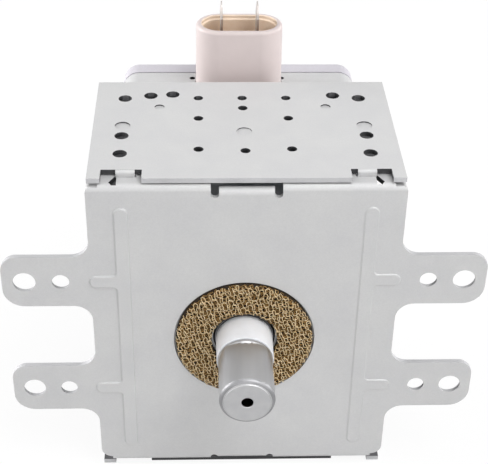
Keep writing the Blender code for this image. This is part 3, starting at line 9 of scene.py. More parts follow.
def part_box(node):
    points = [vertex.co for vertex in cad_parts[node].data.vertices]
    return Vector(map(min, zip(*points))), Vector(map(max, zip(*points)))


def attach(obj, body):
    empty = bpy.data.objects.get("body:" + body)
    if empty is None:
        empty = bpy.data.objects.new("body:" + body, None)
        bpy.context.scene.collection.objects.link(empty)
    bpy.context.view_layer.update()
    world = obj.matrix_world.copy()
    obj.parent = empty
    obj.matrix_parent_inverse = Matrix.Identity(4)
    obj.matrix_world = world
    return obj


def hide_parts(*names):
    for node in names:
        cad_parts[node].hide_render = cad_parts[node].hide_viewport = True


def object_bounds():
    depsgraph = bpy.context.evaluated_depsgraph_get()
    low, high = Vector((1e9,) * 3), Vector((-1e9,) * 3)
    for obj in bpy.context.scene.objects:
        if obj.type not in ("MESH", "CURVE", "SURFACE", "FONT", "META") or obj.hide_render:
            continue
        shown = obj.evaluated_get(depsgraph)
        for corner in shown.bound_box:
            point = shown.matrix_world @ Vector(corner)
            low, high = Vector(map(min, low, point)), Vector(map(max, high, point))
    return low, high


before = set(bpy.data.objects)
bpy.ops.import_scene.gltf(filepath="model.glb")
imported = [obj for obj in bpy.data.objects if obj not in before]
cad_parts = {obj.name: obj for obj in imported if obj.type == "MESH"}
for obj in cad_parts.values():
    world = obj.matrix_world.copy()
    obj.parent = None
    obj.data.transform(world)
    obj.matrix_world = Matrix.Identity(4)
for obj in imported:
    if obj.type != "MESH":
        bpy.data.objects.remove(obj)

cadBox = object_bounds()
mm = 0.001

# every size below is in millimetres: x across the ears, y back from the mounting face, and z up from a level
# between the ears. The antenna's axis lies a little below that level
yokeFront, yokeFoot = 0.95, -47.4
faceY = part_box("yoke_frame")[0].y - yokeFront * mm
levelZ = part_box("yoke_frame")[0].z - yokeFoot * mm
antenna = (0, 0, -0.7)

facing = 0.9  # a normal's part along an axis, above which its face looks that way
edgeOn = 0.3  # and below which it runs along that axis
over = 4  # how far a cutter reaches past the sheet


def at(x, y, z):
    return Vector((x * mm, faceY + y * mm, levelZ + z * mm))


def local(point):
    return Vector((point.x / mm, (point.y - faceY) / mm, (point.z - levelZ) / mm))


# working with bpy.ops
def only(piece):
    if bpy.context.mode != "OBJECT":
        bpy.ops.object.mode_set(mode="OBJECT")
    bpy.ops.object.select_all(action="DESELECT")
    piece.select_set(True)
    bpy.context.view_layer.objects.active = piece


def settle(piece):
    # the place goes into the mesh, so that the object sits at the origin
    only(piece)
    bpy.ops.object.transform_apply(location=True, rotation=True, scale=True)
    return piece


def middle(part):
    if hasattr(part, "calc_center_median"):
        return local(part.calc_center_median())
    if hasattr(part, "verts"):
        return local((part.verts[0].co + part.verts[1].co) / 2)
    return local(part.co)


def pick(piece, kind, test):
    # selects the faces, edges or points that the test wants, and stays in edit mode
    only(piece)
    bpy.ops.object.mode_set(mode="EDIT")
    bpy.ops.mesh.select_mode(type=kind)
    bpy.ops.mesh.select_all(action="DESELECT")
    work = bmesh.from_edit_mesh(piece.data)
    for part in {"FACE": work.faces, "EDGE": work.edges, "VERT": work.verts}[kind]:
        if test(part):
            part.select_set(True)
    work.select_flush_mode()
    bmesh.update_edit_mesh(piece.data)


def outOfEdit():
    bpy.ops.object.mode_set(mode="OBJECT")


def outwards(piece):
    # welds points that lie on each other and turns every face outwards
    pick(piece, "FACE", lambda face: True)
    bpy.ops.mesh.remove_doubles(threshold=0.002 * mm)
    bpy.ops.mesh.normals_make_consistent(inside=False)
    outOfEdit()


def addBlock(name, low, high):
    low, high = at(*low), at(*high)
    bpy.ops.mesh.primitive_cube_add(size=1, location=(low + high) / 2)
    piece = bpy.context.active_object
    piece.name = name
    piece.scale = high - low
    return settle(piece)


def addPeg(name, centre, radius, length, sides=40, axis="Y"):
    turn = {"Y": (math.radians(90), 0, 0), "Z": (0, 0, 0), "X": (0, math.radians(90), 0)}[axis]
    bpy.ops.mesh.primitive_cylinder_add(
        vertices=sides, radius=radius * mm, depth=length * mm, location=at(*centre), rotation=turn
    )
    piece = bpy.context.active_object
    piece.name = name
    return settle(piece)


def joined(name, parts):
    only(parts[0])
    for part in parts:
        part.select_set(True)
    bpy.ops.object.join()
    parts[0].name = name
    return parts[0]


def applied(piece, kind, **settings):
    only(piece)
    modifier = piece.modifiers.new(kind.title(), kind)
    for key, value in settings.items():
        setattr(modifier, key, value)
    bpy.ops.object.modifier_apply(modifier=modifier.name)


def combined(piece, operation, *others):
    for other in others:
        applied(piece, "BOOLEAN", operation=operation, solver="EXACT", object=other)
        bpy.data.objects.remove(other)


def turned(name, rings, sides=96, ends="filled", axis="Y", push=(0, 0), centre=(0, 0, 0)):
    # a circle is extruded from ring to ring, each (radius, level). Its ends are filled, bridged to each other
    # or left open. push moves its quarters apart, which makes the round shape a rounded box or a stadium
    bpy.ops.mesh.primitive_circle_add(vertices=sides, radius=rings[0][0] * mm, location=(0, 0, 0))
    piece = bpy.context.active_object
    piece.name = name
    bpy.ops.object.mode_set(mode="EDIT")
    bpy.ops.mesh.select_mode(type="VERT")
    bpy.ops.mesh.select_all(action="SELECT")
    bpy.ops.transform.translate(value=(0, 0, rings[0][1] * mm))
    for (radius, level), (nextRadius, nextLevel) in zip(rings, rings[1:]):
        bpy.ops.mesh.extrude_region_move(TRANSFORM_OT_translate={"value": (0, 0, (nextLevel - level) * mm)})
        share = nextRadius / radius
        bpy.ops.transform.resize(value=(share, share, 1), center_override=(0, 0, 0))
    if ends != "open":
        bpy.ops.mesh.select_all(action="DESELECT")
        bpy.ops.mesh.select_non_manifold()
        if ends == "bridged":
            bpy.ops.mesh.bridge_edge_loops()
        else:
            bpy.ops.mesh.fill_holes(sides=0)
    for across in (0, 1):
        if push[across]:
            work = bmesh.from_edit_mesh(piece.data)
            for point in work.verts:
                if abs(point.co[across]) > 0.01 * mm:
                    point.co[across] += math.copysign(push[across] * mm, point.co[across])
            bmesh.update_edit_mesh(piece.data)
    bpy.ops.mesh.select_all(action="SELECT")
    bpy.ops.mesh.normals_make_consistent(inside=False)
    outOfEdit()
    if axis == "Y":
        piece.rotation_euler = (math.radians(-90), 0, 0)
    piece.location = at(*centre)
    return settle(piece)


def smoothed(piece, angle=35, edge=0, segments=2):
    # a small rounded edge catches the light, and weighted normals keep flat faces flat
    if edge:
        applied(
            piece, "BEVEL", width=edge * mm, segments=segments, limit_method="ANGLE",
            angle_limit=math.radians(40), use_clamp_overlap=True,
        )
    only(piece)
    bpy.ops.object.shade_smooth_by_angle(angle=math.radians(angle))
    applied(piece, "WEIGHTED_NORMAL", keep_sharp=True, weight=80)


def stands(piece, materials, nodes):
    # the piece takes its materials, stands for its CAD nodes and rides on the one body
    piece.data.materials.clear()
    for material in materials:
        piece.data.materials.append(material)
    if nodes:
        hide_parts(*nodes)
    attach(piece, "root")


def sortFaces(piece, which):
    # gives each face the material whose number the test returns for the face's middle and normal
    for face in piece.data.polygons:
        face.material_index = int(which(local(face.center), face.normal))


# materials
def linear(hexColour):
    parts = [int(hexColour[place:place + 2], 16) / 255 for place in (1, 3, 5)]
    return tuple(c / 12.92 if c <= 0.04045 else ((c + 0.055) / 1.055) ** 2.4 for c in parts) + (1,)


def addNode(tree, kind, settings=(), links=()):
    node = tree.nodes.new(kind)
    for key, value in dict(settings).items():
        if isinstance(key, int) or key in node.inputs:
            node.inputs[key].default_value = value
        else:
            setattr(node, key, value)
    for key, source in dict(links).items():
        tree.links.new(source, node.inputs[key])
    return node


def newMaterial(name):
    material = bpy.data.materials.new(name)
    material.use_nodes = True
    tree = material.node_tree
    tree.nodes.clear()
    shader = addNode(tree, "ShaderNodeBsdfPrincipled")
    addNode(tree, "ShaderNodeOutputMaterial", {}, {"Surface": shader.outputs[0]})
    place = addNode(tree, "ShaderNodeTexCoord")
    return material, tree, shader, place.outputs["Object"]


def noiseOf(tree, place, size, detail, roughness=0.5):
    # the size is the pattern's own, in millimetres
    settings = {"Scale": 1000 / size, "Detail": detail, "Roughness": roughness}
    return addNode(tree, "ShaderNodeTexNoise", settings, {"Vector": place}).outputs[0]


def mapped(tree, source, before=(0, 1), after=(0, 1)):
    settings = {"From Min": before[0], "From Max": before[1], "To Min": after[0], "To Max": after[1]}
    return addNode(tree, "ShaderNodeMapRange", settings, {"Value": source}).outputs[0]


def blended(tree, share, first, second):
    settings = {"data_type": "RGBA", 6: linear(first), 7: linear(second)}
    return addNode(tree, "ShaderNodeMix", settings, {0: share}).outputs[2]


def wired(tree, shader, colour, roughness, metallic, height=None, strength=0, depth=0):
    tree.links.new(colour, shader.inputs["Base Color"])
    tree.links.new(roughness, shader.inputs["Roughness"])
    shader.inputs["Metallic"].default_value = metallic
    if depth:
        bump = addNode(tree, "ShaderNodeBump", {"Strength": strength, "Distance": depth * mm}, {"Height": height})
        tree.links.new(bump.outputs[0], shader.inputs["Normal"])


zincLook = {
    "light": "#CECECE", "dark": "#CACACB", "cloudSize": 12, "grainSize": 0.4, "speck": (0.97, 1.03),
    "bump": 0.35, "grainDepth": 0.01, "metallic": 0.25, "roughness": 0.58, "spread": (-0.05, 0.06),
}


def zincPlatedSteel(name, **changes):
    # electro-zinc sheet steel: matte pale grey, faintly cloudy, with a fine even grain and no mirror
    look = {**zincLook, **changes}
    material, tree, shader, place = newMaterial(name)
    cloud = noiseOf(tree, place, look["cloudSize"], 4, 0.6)
    grain = noiseOf(tree, place, look["grainSize"], 2, 0.7)
    tint = blended(tree, mapped(tree, cloud, (0.35, 0.65)), look["light"], look["dark"])
    speck = mapped(tree, grain, (0.3, 0.7), look["speck"])
    mixed = addNode(tree, "ShaderNodeVectorMath", {"operation": "SCALE"}, {0: tint, "Scale": speck})
    rough = mapped(tree, cloud, after=[look["roughness"] + part for part in look["spread"]])
    wired(tree, shader, mixed.outputs[0], rough, look["metallic"], grain, look["bump"], look["grainDepth"])
    return material


zincSteel = zincPlatedSteel("zincPlatedSteel")
# the lid's zinc is a little bluer than the box's
lidSteel = zincPlatedSteel("lidZincPlatedSteel", light="#CECBD2", dark="#CAC7CE")
# a cut edge that the shears left smooth; a dark zinc that paints the shade inside the yoke's fold; and a near-black
# edge colour that paints the shade in holes and under the plate's bend
shearedSteel = zincPlatedSteel("shearedSteelEdge", light="#C8C8CA", dark="#BBBBBD", roughness=0.5)
insideFoldPaintedShade = zincPlatedSteel("zincInsideFoldPaintedShade", light="#6E6E70", dark="#626264", roughness=0.65)
holeAndEdgePaintedShade = zincPlatedSteel("punchedEdgePaintedShade", light="#434345", dark="#343436", roughness=0.5)

drawnLook = {
    "light": "#BEBEBF", "dark": "#B6B6B8", "streakSize": 2.5, "stretch": (1, 0.04, 1), "metallic": 0.9,
    "roughness": 0.33, "spread": (0.03, -0.02), "bump": 0.1, "depth": 0.004,
}


def deepDrawnSteel(name, **changes):
    # nickel-plated deep-drawn steel: satin, with fine streaks along the draw
    look = {**drawnLook, **changes}
    material, tree, shader, place = newMaterial(name)
    drawn = addNode(tree, "ShaderNodeMapping", {"Scale": look["stretch"]}, {"Vector": place})
    streak = noiseOf(tree, drawn.outputs[0], look["streakSize"], 3)
    tint = blended(tree, mapped(tree, streak, (0.3, 0.7)), look["dark"], look["light"])
    rough = mapped(tree, streak, after=[look["roughness"] + part for part in look["spread"]])
    wired(tree, shader, tint, rough, look["metallic"], streak, look["bump"], look["depth"])
    return material


capSteel = deepDrawnSteel("deepDrawnNickelPlatedSteel")
# the rounding at the cap's tip is rougher than its wall and painted darker: painted shade, which dims its highlight
# above and paints a dark reflection below
capRimPaintedShade = deepDrawnSteel("capRoundingPaintedShade", light="#969698", dark="#89898B", roughness=0.45)
rivetSteel = deepDrawnSteel("rivetSteel", light="#B9B9BA", dark="#98999A")

mottledLooks = {
    # name: light, dark, pattern size, metallic, roughness, bump depth
    "sinteredAlumina": ("#F3F5FA", "#EEF0F4", 2.5, 0, 0.38, 0.004),
    "knittedBrassWire": ("#FBE8C4", "#DCC08C", 1.6, 0.45, 0.36, 0),
    "knittedBrassInShade": ("#B48E57", "#7C5E34", 1.6, 0.7, 0.4, 0),
    # a near-black colour for the core beneath the knit: painted shade
    "knitCorePaintedShade": ("#33250F", "#1B130A", 1.2, 0.1, 0.8, 0.05),
    "mouldedPbt": ("#DACDCB", "#D6C9C7", 9, 0, 0.42, 0.003),
    "castEpoxyTan": ("#FCE9D5", "#F5DEC6", 3, 0, 0.5, 0.02),
    "tinPlatedBrass": ("#CDC7C4", "#B3AAA5", 2, 0.7, 0.38, 0.004),
    # a darker brass for the spade's front edge and its right rounding: painted shade
    "spadeEdgePaintedShade": ("#9A8A80", "#85766C", 2, 0.7, 0.45, 0.004),
    "oxidisedCopper": ("#B87750", "#8E5335", 5, 0.9, 0.36, 0.006),
    "sinteredFerrite": ("#3A3A3D", "#2A2A2D", 1.5, 0, 0.62, 0.02),
    "aluminiumSheet": ("#B9BBBE", "#A2A5A9", 6, 0.9, 0.33, 0.004),
    "plainIron": ("#8D8D8F", "#727274", 4, 0.85, 0.42, 0.006),
    "drawnTungsten": ("#5E5E62", "#47474A", 2, 0.9, 0.42, 0.004),
    "enamelledCopperWire": ("#9A4A26", "#7A341A", 2.5, 0.5, 0.3, 0.002),
}
mottledSpread = 0.05


def mottled(name):
    # an even material with the slight mottle of its making, and a bump a third as large as the mottle
    light, dark, size, metallic, roughness, depth = mottledLooks[name]
    material, tree, shader, place = newMaterial(name)
    cloud = noiseOf(tree, place, size, 3, 0.6)
    tint = blended(tree, mapped(tree, cloud, (0.32, 0.68)), light, dark)
    rough = mapped(tree, cloud, after=(roughness - mottledSpread, roughness + mottledSpread))
    fine = noiseOf(tree, place, size / 3, 2) if depth else None
    wired(tree, shader, tint, rough, metallic, fine, 0.4, depth)
    return material


finish = {name: mottled(name) for name in mottledLooks}
print("materials made")


# stage, lamps and camera
stageLook = {
    "floor": "#DADADA", "floorSize": 6, "floorDrop": 0.02, "floorRoughness": 0.9,
    # how much of the floor is plain white to the camera and in reflections, and how white
    "seenWhite": 0.85, "mirroredWhite": 0.48, "backdrop": 1.06, "world": 0.06,
    "aim": (0, 0, 0.05),
    "lamps": [
        # name, place, power, size
        ("overheadSoftbox", (0, 0.05, 1.15), 3.0, 0.9),
        ("keySoftbox", (0.4, -0.45, 0.95), 6.8, 0.65),
        ("frontSoftbox", (0, -1.25, 0.12), 5.0, 0.9),
        ("leftSoftbox", (-1.0, -0.55, 0.18), 1.6, 0.8),
        ("rightSoftbox", (1.0, -0.55, 0.3), 1.6, 0.8),
        ("leftRearSoftbox", (-1.0, 0.28, 0.25), 13.0, 0.7),
        ("rightRearSoftbox", (1.0, 0.28, 0.25), 6.0, 0.7),
    ],
}
plainWhite = (1, 1, 1, 1)


def mathOf(tree, operation, first, second):
    # a number is typed in, and a socket is linked
    sockets = {0: first, 1: second}
    typed = {key: value for key, value in sockets.items() if isinstance(value, float)}
    linked = {key: value for key, value in sockets.items() if key not in typed}
    return addNode(tree, "ShaderNodeMath", {"operation": operation, **typed}, linked).outputs[0]


def mixedShaders(tree, share, first, second):
    links = {0: share, 1: first.outputs[0], 2: second.outputs[0]}
    return addNode(tree, "ShaderNodeMixShader", {}, links).outputs[0]


def makeStage():
    s = stageLook
    bpy.ops.mesh.primitive_plane_add(size=s["floorSize"], location=(0, 0, cadBox[0][2] - s["floorDrop"] * mm))
    floor = bpy.context.active_object
    floor.name = "studioFloor"
    material, tree, shader, _ = newMaterial("studioFloorPaint")
    shader.inputs["Base Color"].default_value = linear(s["floor"])
    shader.inputs["Roughness"].default_value = s["floorRoughness"]
    rays = addNode(tree, "ShaderNodeLightPath").outputs
    mirrored = mathOf(tree, "MULTIPLY", rays["Is Glossy Ray"], s["mirroredWhite"])
    seen = mathOf(tree, "MULTIPLY", rays["Is Camera Ray"], s["seenWhite"])
    white = addNode(tree, "ShaderNodeEmission", {"Color": plainWhite, "Strength": s["backdrop"]})
    mixed = mixedShaders(tree, mathOf(tree, "MAXIMUM", seen, mirrored), shader, white)
    tree.links.new(mixed, tree.nodes["Material Output"].inputs["Surface"])
    floor.data.materials.append(material)
    world = bpy.data.worlds.new("studioWorld")
    bpy.context.scene.world = world
    world.use_nodes = True
    tree = world.node_tree
    tree.nodes.clear()
    rays = addNode(tree, "ShaderNodeLightPath").outputs
    seen = mathOf(tree, "MAXIMUM", rays["Is Camera Ray"], rays["Is Glossy Ray"])
    dim = addNode(tree, "ShaderNodeBackground", {"Color": plainWhite, "Strength": s["world"]})
    white = addNode(tree, "ShaderNodeBackground", {"Color": plainWhite, "Strength": 1})
    addNode(tree, "ShaderNodeOutputWorld", {}, {"Surface": mixedShaders(tree, seen, dim, white)})
    for name, place, power, size in s["lamps"]:
        bpy.ops.object.light_add(type="AREA", location=place)
        lamp = bpy.context.active_object
        lamp.name = name
        lamp.data.energy = power
        lamp.data.size = size
        aim = Vector(s["aim"]) - Vector(place)
        lamp.rotation_euler = aim.to_track_quat("-Z", "Y").to_euler()


# where the photograph was taken from, worked out from the holes, corners and ears
cameraView = {
    "place": (-11.5435, -259.2711, 211.7813), "yaw": 0.0422, "pitch": 0.5999, "roll": 0.0186,
    "focal": 1237.35, "imageWidth": 488, "sensorWidth": 36, "clipStart": 0.01,
}


def makeCamera():
    c = cameraView
    bpy.ops.object.camera_add()
    camera = bpy.context.active_object
    camera.name = "photoCamera"
    yaw, pitch, roll = c["yaw"], c["pitch"], c["roll"]
    ahead = Vector((math.sin(yaw) * math.cos(pitch), math.cos(yaw) * math.cos(pitch), -math.sin(pitch)))
    level = Vector((math.cos(yaw), -math.sin(yaw), 0))
    above = level.cross(ahead)
    right = level * math.cos(roll) + above * math.sin(roll)
    up = above * math.cos(roll) - level * math.sin(roll)
    pose = Matrix((right, up, -ahead)).transposed().to_4x4()
    pose.translation = at(*c["place"])
    camera.matrix_world = pose
    camera.data.sensor_width = c["sensorWidth"]
    camera.data.lens = c["focal"] / c["imageWidth"] * c["sensorWidth"]
    camera.data.clip_start = c["clipStart"]
    bpy.context.scene.camera = camera


makeStage()
makeCamera()
bpy.context.scene.view_settings.view_transform = "Standard"
print("stage, lamps and camera set")


# one folded sheet: upper arm, rear wall and lower arm
yoke = {
    "half": 39.9, "low": yokeFoot, "high": 49.8, "front": yokeFront, "rear": 53.6, "sheet": 1.4, "bend": 2.0,
    "smallHoles": [(-12.05, 42.7), (0, 42.7), (12.05, 42.7), (0, 37.0), (-12.05, 31.3), (12.05, 31.3),
                   (-12.05, 15.1), (0, 14.3), (12.05, 15.1)],
    "largeHoles": [(-32.1, 42.5), (-25.1, 44.1), (-19.1, 44.8), (25.1, 44.1), (32.1, 42.5),
                   (-32.1, 22.1), (32.1, 22.1), (-32.1, 13.0), (32.1, 13.0)],
    "smallDimples": [(-22.6, 37.7), (22.6, 37.7)], "largeDimples": [(-32.1, 27.45), (32.1, 27.45), (0, 24.3)],
    "smallRadius": 1.3, "largeRadius": 1.85, "smallDimple": 1.35, "largeDimple": 2.05,
    "dimpleDepth": 0.4, "middleDimpleDepth": 0.29,
    "notch": (26.2, 36.5, 5.2), "notchReach": 3, "lowerEdge": (27.7, 1.7), "stemBore": 9.7,
    "rivets": [(27, 34.3), (-27, 34.3), (27, -23.3), (-27, -23.3)], "rivetHole": 1.9, "edge": 0.14,
    "tongue": (28.0, 32.8), "tongueFlat": 0.05, "tongueTurn": 86, "tongueEnd": 1.0, "tongueThick": 0.8,
    "tongueLevel": 0.45, "tongueRoot": 1.2,
}


def makeYoke():
    y = yoke
    piece = addBlock("foldedYoke", (-y["half"], y["front"], y["low"]), (y["half"], y["rear"], y["high"]))
    pick(piece, "EDGE", lambda edge: middle(edge).y > y["rear"] - 0.1 and abs(middle(edge).x) < 1)
    bpy.ops.mesh.bevel(offset=y["bend"] * mm, segments=8, affect="EDGES")
    outOfEdit()
    pick(piece, "FACE", lambda face: abs(face.normal.x) > facing or face.normal.y < -facing)
    bpy.ops.mesh.delete(type="FACE")
    outOfEdit()
    applied(piece, "SOLIDIFY", thickness=y["sheet"] * mm, offset=-1, use_even_offset=True)
    cutters = []
    for places, radius in ((y["smallHoles"], y["smallRadius"]), (y["largeHoles"], y["largeRadius"])):
        for x, depth in places:
            cutters.append(addPeg("hole", (x, depth, y["high"]), radius, 2 * over, 40, "Z"))
    for places, radius in ((y["smallDimples"], y["smallDimple"]), (y["largeDimples"], y["largeDimple"])):
        for x, depth in places:
            sunk = y["dimpleDepth"] if x else y["middleDimpleDepth"]
            cutters.append(addPeg("dimple", (x, depth, y["high"] + over - sunk), radius, 2 * over, 40, "Z"))
    cutters.append(addPeg("stemBore", (0, y["rear"], antenna[2]), y["stemBore"], 2 * over, 64))
    for x, level in y["rivets"]:
        cutters.append(addPeg("rivetHole", (x, y["rear"], level), y["rivetHole"], 2 * over, 24))
    near, far, deep = y["notch"]
    reach = y["notchReach"]
    for side in (-1, 1):
        low, high = sorted((side * near, side * far))
        for top in (y["low"], y["high"]):
            cutters.append(addBlock("notch", (low, -over, top - reach), (high, deep, top + reach)))
    combined(piece, "DIFFERENCE", joined("yokeCuts", cutters))
    half, deep = y["lowerEdge"]
    lowerEdge = addBlock("lowerEdge", (-half, -over, y["low"] - reach), (half, deep, y["low"] + reach))
    combined(piece, "DIFFERENCE", lowerEdge)
    for side in (-1, 1):
        for top, lean in ((y["low"] + y["tongueLevel"], 1), (y["high"] - y["tongueLevel"], -1)):
            combined(piece, "UNION", makeTongue(side, top, lean))
    smoothed(piece, 30, y["edge"])
    stands(piece, [zincSteel, shearedSteel, holeAndEdgePaintedShade, insideFoldPaintedShade], ["yoke_frame"])
    sortFaces(piece, yokeMaterial)


def yokeMaterial(place, normal):
    # 0 is plated, 1 sheared, 2 the painted shade of punched edges and 3 the painted shade inside the fold
    y = yoke
    # faces inside the fold take a darker zinc: painted shade
    if normal.z * place.z < 0 and abs(normal.z) > facing or normal.y < -facing and place.y > 40:
        return 3
    near, far = y["tongue"]
    if near - 0.1 < abs(place.x) < far + 0.1 and place.y < y["notch"][2] - 0.05:
        return abs(normal.x) > facing
    frontEdge = normal.y < -facing and place.y < y["front"] + 0.1
    foot = place.z < 0 and abs(place.x) > y["notch"][1] - 0.1
    if frontEdge and (place.z > 0 or foot) or abs(place.x) > y["half"] - 0.05:
        return 1
    # hole walls and the lower arm's front edge take the near-black colour: painted shade
    if place.y < y["rear"] - y["bend"] - 0.1:
        return 2 * (abs(normal.z) < edgeOn)
    return 2 * (abs(place.z) < -y["low"] - y["bend"] and abs(normal.y) < edgeOn)


def makeTongue(side, level, lean):
    # a flat strip from the notch's back edge, with its end turned down into the plate's window
    y = yoke
    low, high = sorted(side * edge for edge in y["tongue"])
    half, root = y["tongueThick"] / 2, y["notch"][2]
    bend = root - y["tongueFlat"]
    strip = addBlock("tongue", (low, bend, level - half), (high, root + y["tongueRoot"], level + half))
    pick(strip, "FACE", lambda face: face.normal.y < -facing)
    hinge, steps = at(0, bend, level + lean * half), 8
    turn = Matrix.Rotation(math.radians(lean * -y["tongueTurn"] / steps), 4, "X")
    for step in range(steps):
        bpy.ops.mesh.extrude_region_move()
        work = bmesh.from_edit_mesh(strip.data)
        for point in work.verts:
            if point.select:
                point.co = hinge + turn @ (point.co - hinge)
        bmesh.update_edit_mesh(strip.data)
    bpy.ops.mesh.extrude_region_move(TRANSFORM_OT_translate={"value": (0, 0, lean * y["tongueEnd"] * mm)})
    outOfEdit()
    outwards(strip)
    return strip


# pressed plate with ears, beads, flanges and seat
plate = {
    "half": 40.3, "low": -45.8, "high": 48.1, "depth": 7.5, "sheet": 1.4, "bend": 1.8, "flangeHalf": 37.2,
    "upperShoulder": 47.5, "lowerShoulder": -43.9, "upperCorner": 1.2, "lowerCorner": 3.08,
    "earTip": 63.3, "earHalf": 7.85, "earLevels": (-17.5, 18.8), "earUpper": 4.2, "earLower": 5.5, "earFillet": 4.8,
    "boltHole": (57.5, 2.95), "pinHole": (48.05, 2.25), "breakout": (0.45, 0.3),
    "recess": (18.95, 1.5), "bore": 8.4, "cupHole": 2, "cupRoot": 0.7, "cupSlope": 0.8,
    "bead": (31.75, 2.05), "beadEnds": (-39.45, 41.85), "beadTip": 40.85, "beadFillet": 0.9, "beadRoot": 0.7,
    # each step in over the bead's edge, and its rise. The right bead is flatter, and both lean a little
    "beadProfile": [(0.09, 0.02), (0.09, 0.08), (0.1, 0.2), (0.1, 0.2), (0.09, 0.08), (0.09, 0.02)],
    "rightBeadShare": 0.55, "beadLean": (0.02, 0, 0.03), "groove": (0.65, 0.9, 3),
    "slotMiddle": 8.0, "slotHalf": 1.05, "slotEnds": (-43.7, 44.5), "slotDepth": (-3, 12), "slotLength": 4,
    "tabCut": {"half": 7.5, "depths": (1.75, 9), "ends": (-43, 45.6), "past": 1},
    "tabDrop": 1.1, "tabFrom": 0.6, "tabZone": 40, "flangeFrom": 4, "edge": 0.12,
}


def flatOutline(name, half, low, high, level, arms, rounds, grow=()):
    # a flat sheet at this depth: a plane cut into bands, with its arms extruded and its corners rounded
    bpy.ops.mesh.primitive_plane_add(size=1, location=at(0, level, (low + high) / 2), rotation=(math.radians(90), 0, 0))
    piece = bpy.context.active_object
    piece.name = name
    piece.scale = ((half[1] - half[0]) * mm, (high - low) * mm, 1)
    piece.location.x = (half[0] + half[1]) / 2 * mm
    settle(piece)
    cuts = [((0, level, z), (0, 0, 1)) for arm in arms for z in arm[2:]]
    cuts += [((x, level, 0), (1, 0, 0)) for x in grow]
    for place, normal in cuts:
        pick(piece, "FACE", lambda face: True)
        bpy.ops.mesh.bisect(plane_co=at(*place), plane_no=normal)
        outOfEdit()
    for x, tip, bottom, top in arms:
        pick(piece, "EDGE", lambda edge: abs(middle(edge).x - x) < 0.01 and bottom < middle(edge).z < top)
        bpy.ops.mesh.extrude_region_move(TRANSFORM_OT_translate={"value": ((tip - x) * mm, 0, 0)})
        outOfEdit()
    if grow:
        for z, step in ((high, over), (low, -over)):
            pick(piece, "EDGE", lambda edge: abs(middle(edge).z - z) < 0.01 and abs(middle(edge).x) < grow[1])
            bpy.ops.mesh.extrude_region_move(TRANSFORM_OT_translate={"value": (0, 0, step * mm)})
            outOfEdit()
    pick(piece, "FACE", lambda face: True)
    bpy.ops.mesh.dissolve_limited(angle_limit=math.radians(1))
    outOfEdit()
    for (x, z), radius in rounds:
        pick(piece, "VERT", lambda point: (middle(point) - Vector((x, level, z))).length < 0.02)
        bpy.ops.mesh.bevel(offset=radius * mm, segments=10, affect="VERTICES")
        outOfEdit()
    pick(piece, "FACE", lambda face: True)
    bpy.ops.mesh.remove_doubles(threshold=0.02 * mm)
    outOfEdit()
    return piece


def thickened(piece, distance):
    pick(piece, "FACE", lambda face: True)
    bpy.ops.mesh.extrude_region_move(TRANSFORM_OT_translate={"value": (0, distance * mm, 0)})
    outOfEdit()
    outwards(piece)
    return piece


def plateOutline():
    p = plate
    arms, rounds = [], []
    for side in (-1, 1):
        edge, tip = side * p["half"], side * p["earTip"]
        for level in p["earLevels"]:
            bottom, top = level - p["earHalf"], level + p["earHalf"]
            arms.append((edge, tip, bottom, top))
            rounds += [((edge, top), p["earFillet"]), ((edge, bottom), p["earFillet"]),
                       ((tip, top), p["earUpper"]), ((tip, bottom), p["earLower"])]
        rounds += [((edge, p["upperShoulder"]), p["upperCorner"]), ((edge, p["lowerShoulder"]), p["lowerCorner"])]
    sheet = flatOutline(
        "plateOutline", (-p["half"], p["half"]), p["lowerShoulder"], p["upperShoulder"], -over, arms, rounds,
        (-p["flangeHalf"], p["flangeHalf"]),
    )
    return thickened(sheet, 4 * over)


def beadSheet(side, inset, level):
    p = plate
    centre, half = p["bead"]
    half -= inset
    low, high = p["beadEnds"][0] + inset, p["beadEnds"][1] - inset
    tip, fillet = side * (p["beadTip"] - inset), p["beadFillet"] + inset
    # a rounding of the full half width would meet its neighbour
    end = half - 0.004
    near, far = side * (centre - half), side * (centre + half)
    arms = [(far, tip, z - half, z + half) for z in p["earLevels"]]
    rounds = [((near, low), end), ((far, low), end), ((near, high), end), ((far, high), end)]
    for ear in p["earLevels"]:
        for z in (ear - half, ear + half):
            rounds += [((tip, z), end), ((far, z), fillet)]
    return flatOutline("bead", sorted((near, far)), low, high, level, arms, rounds)


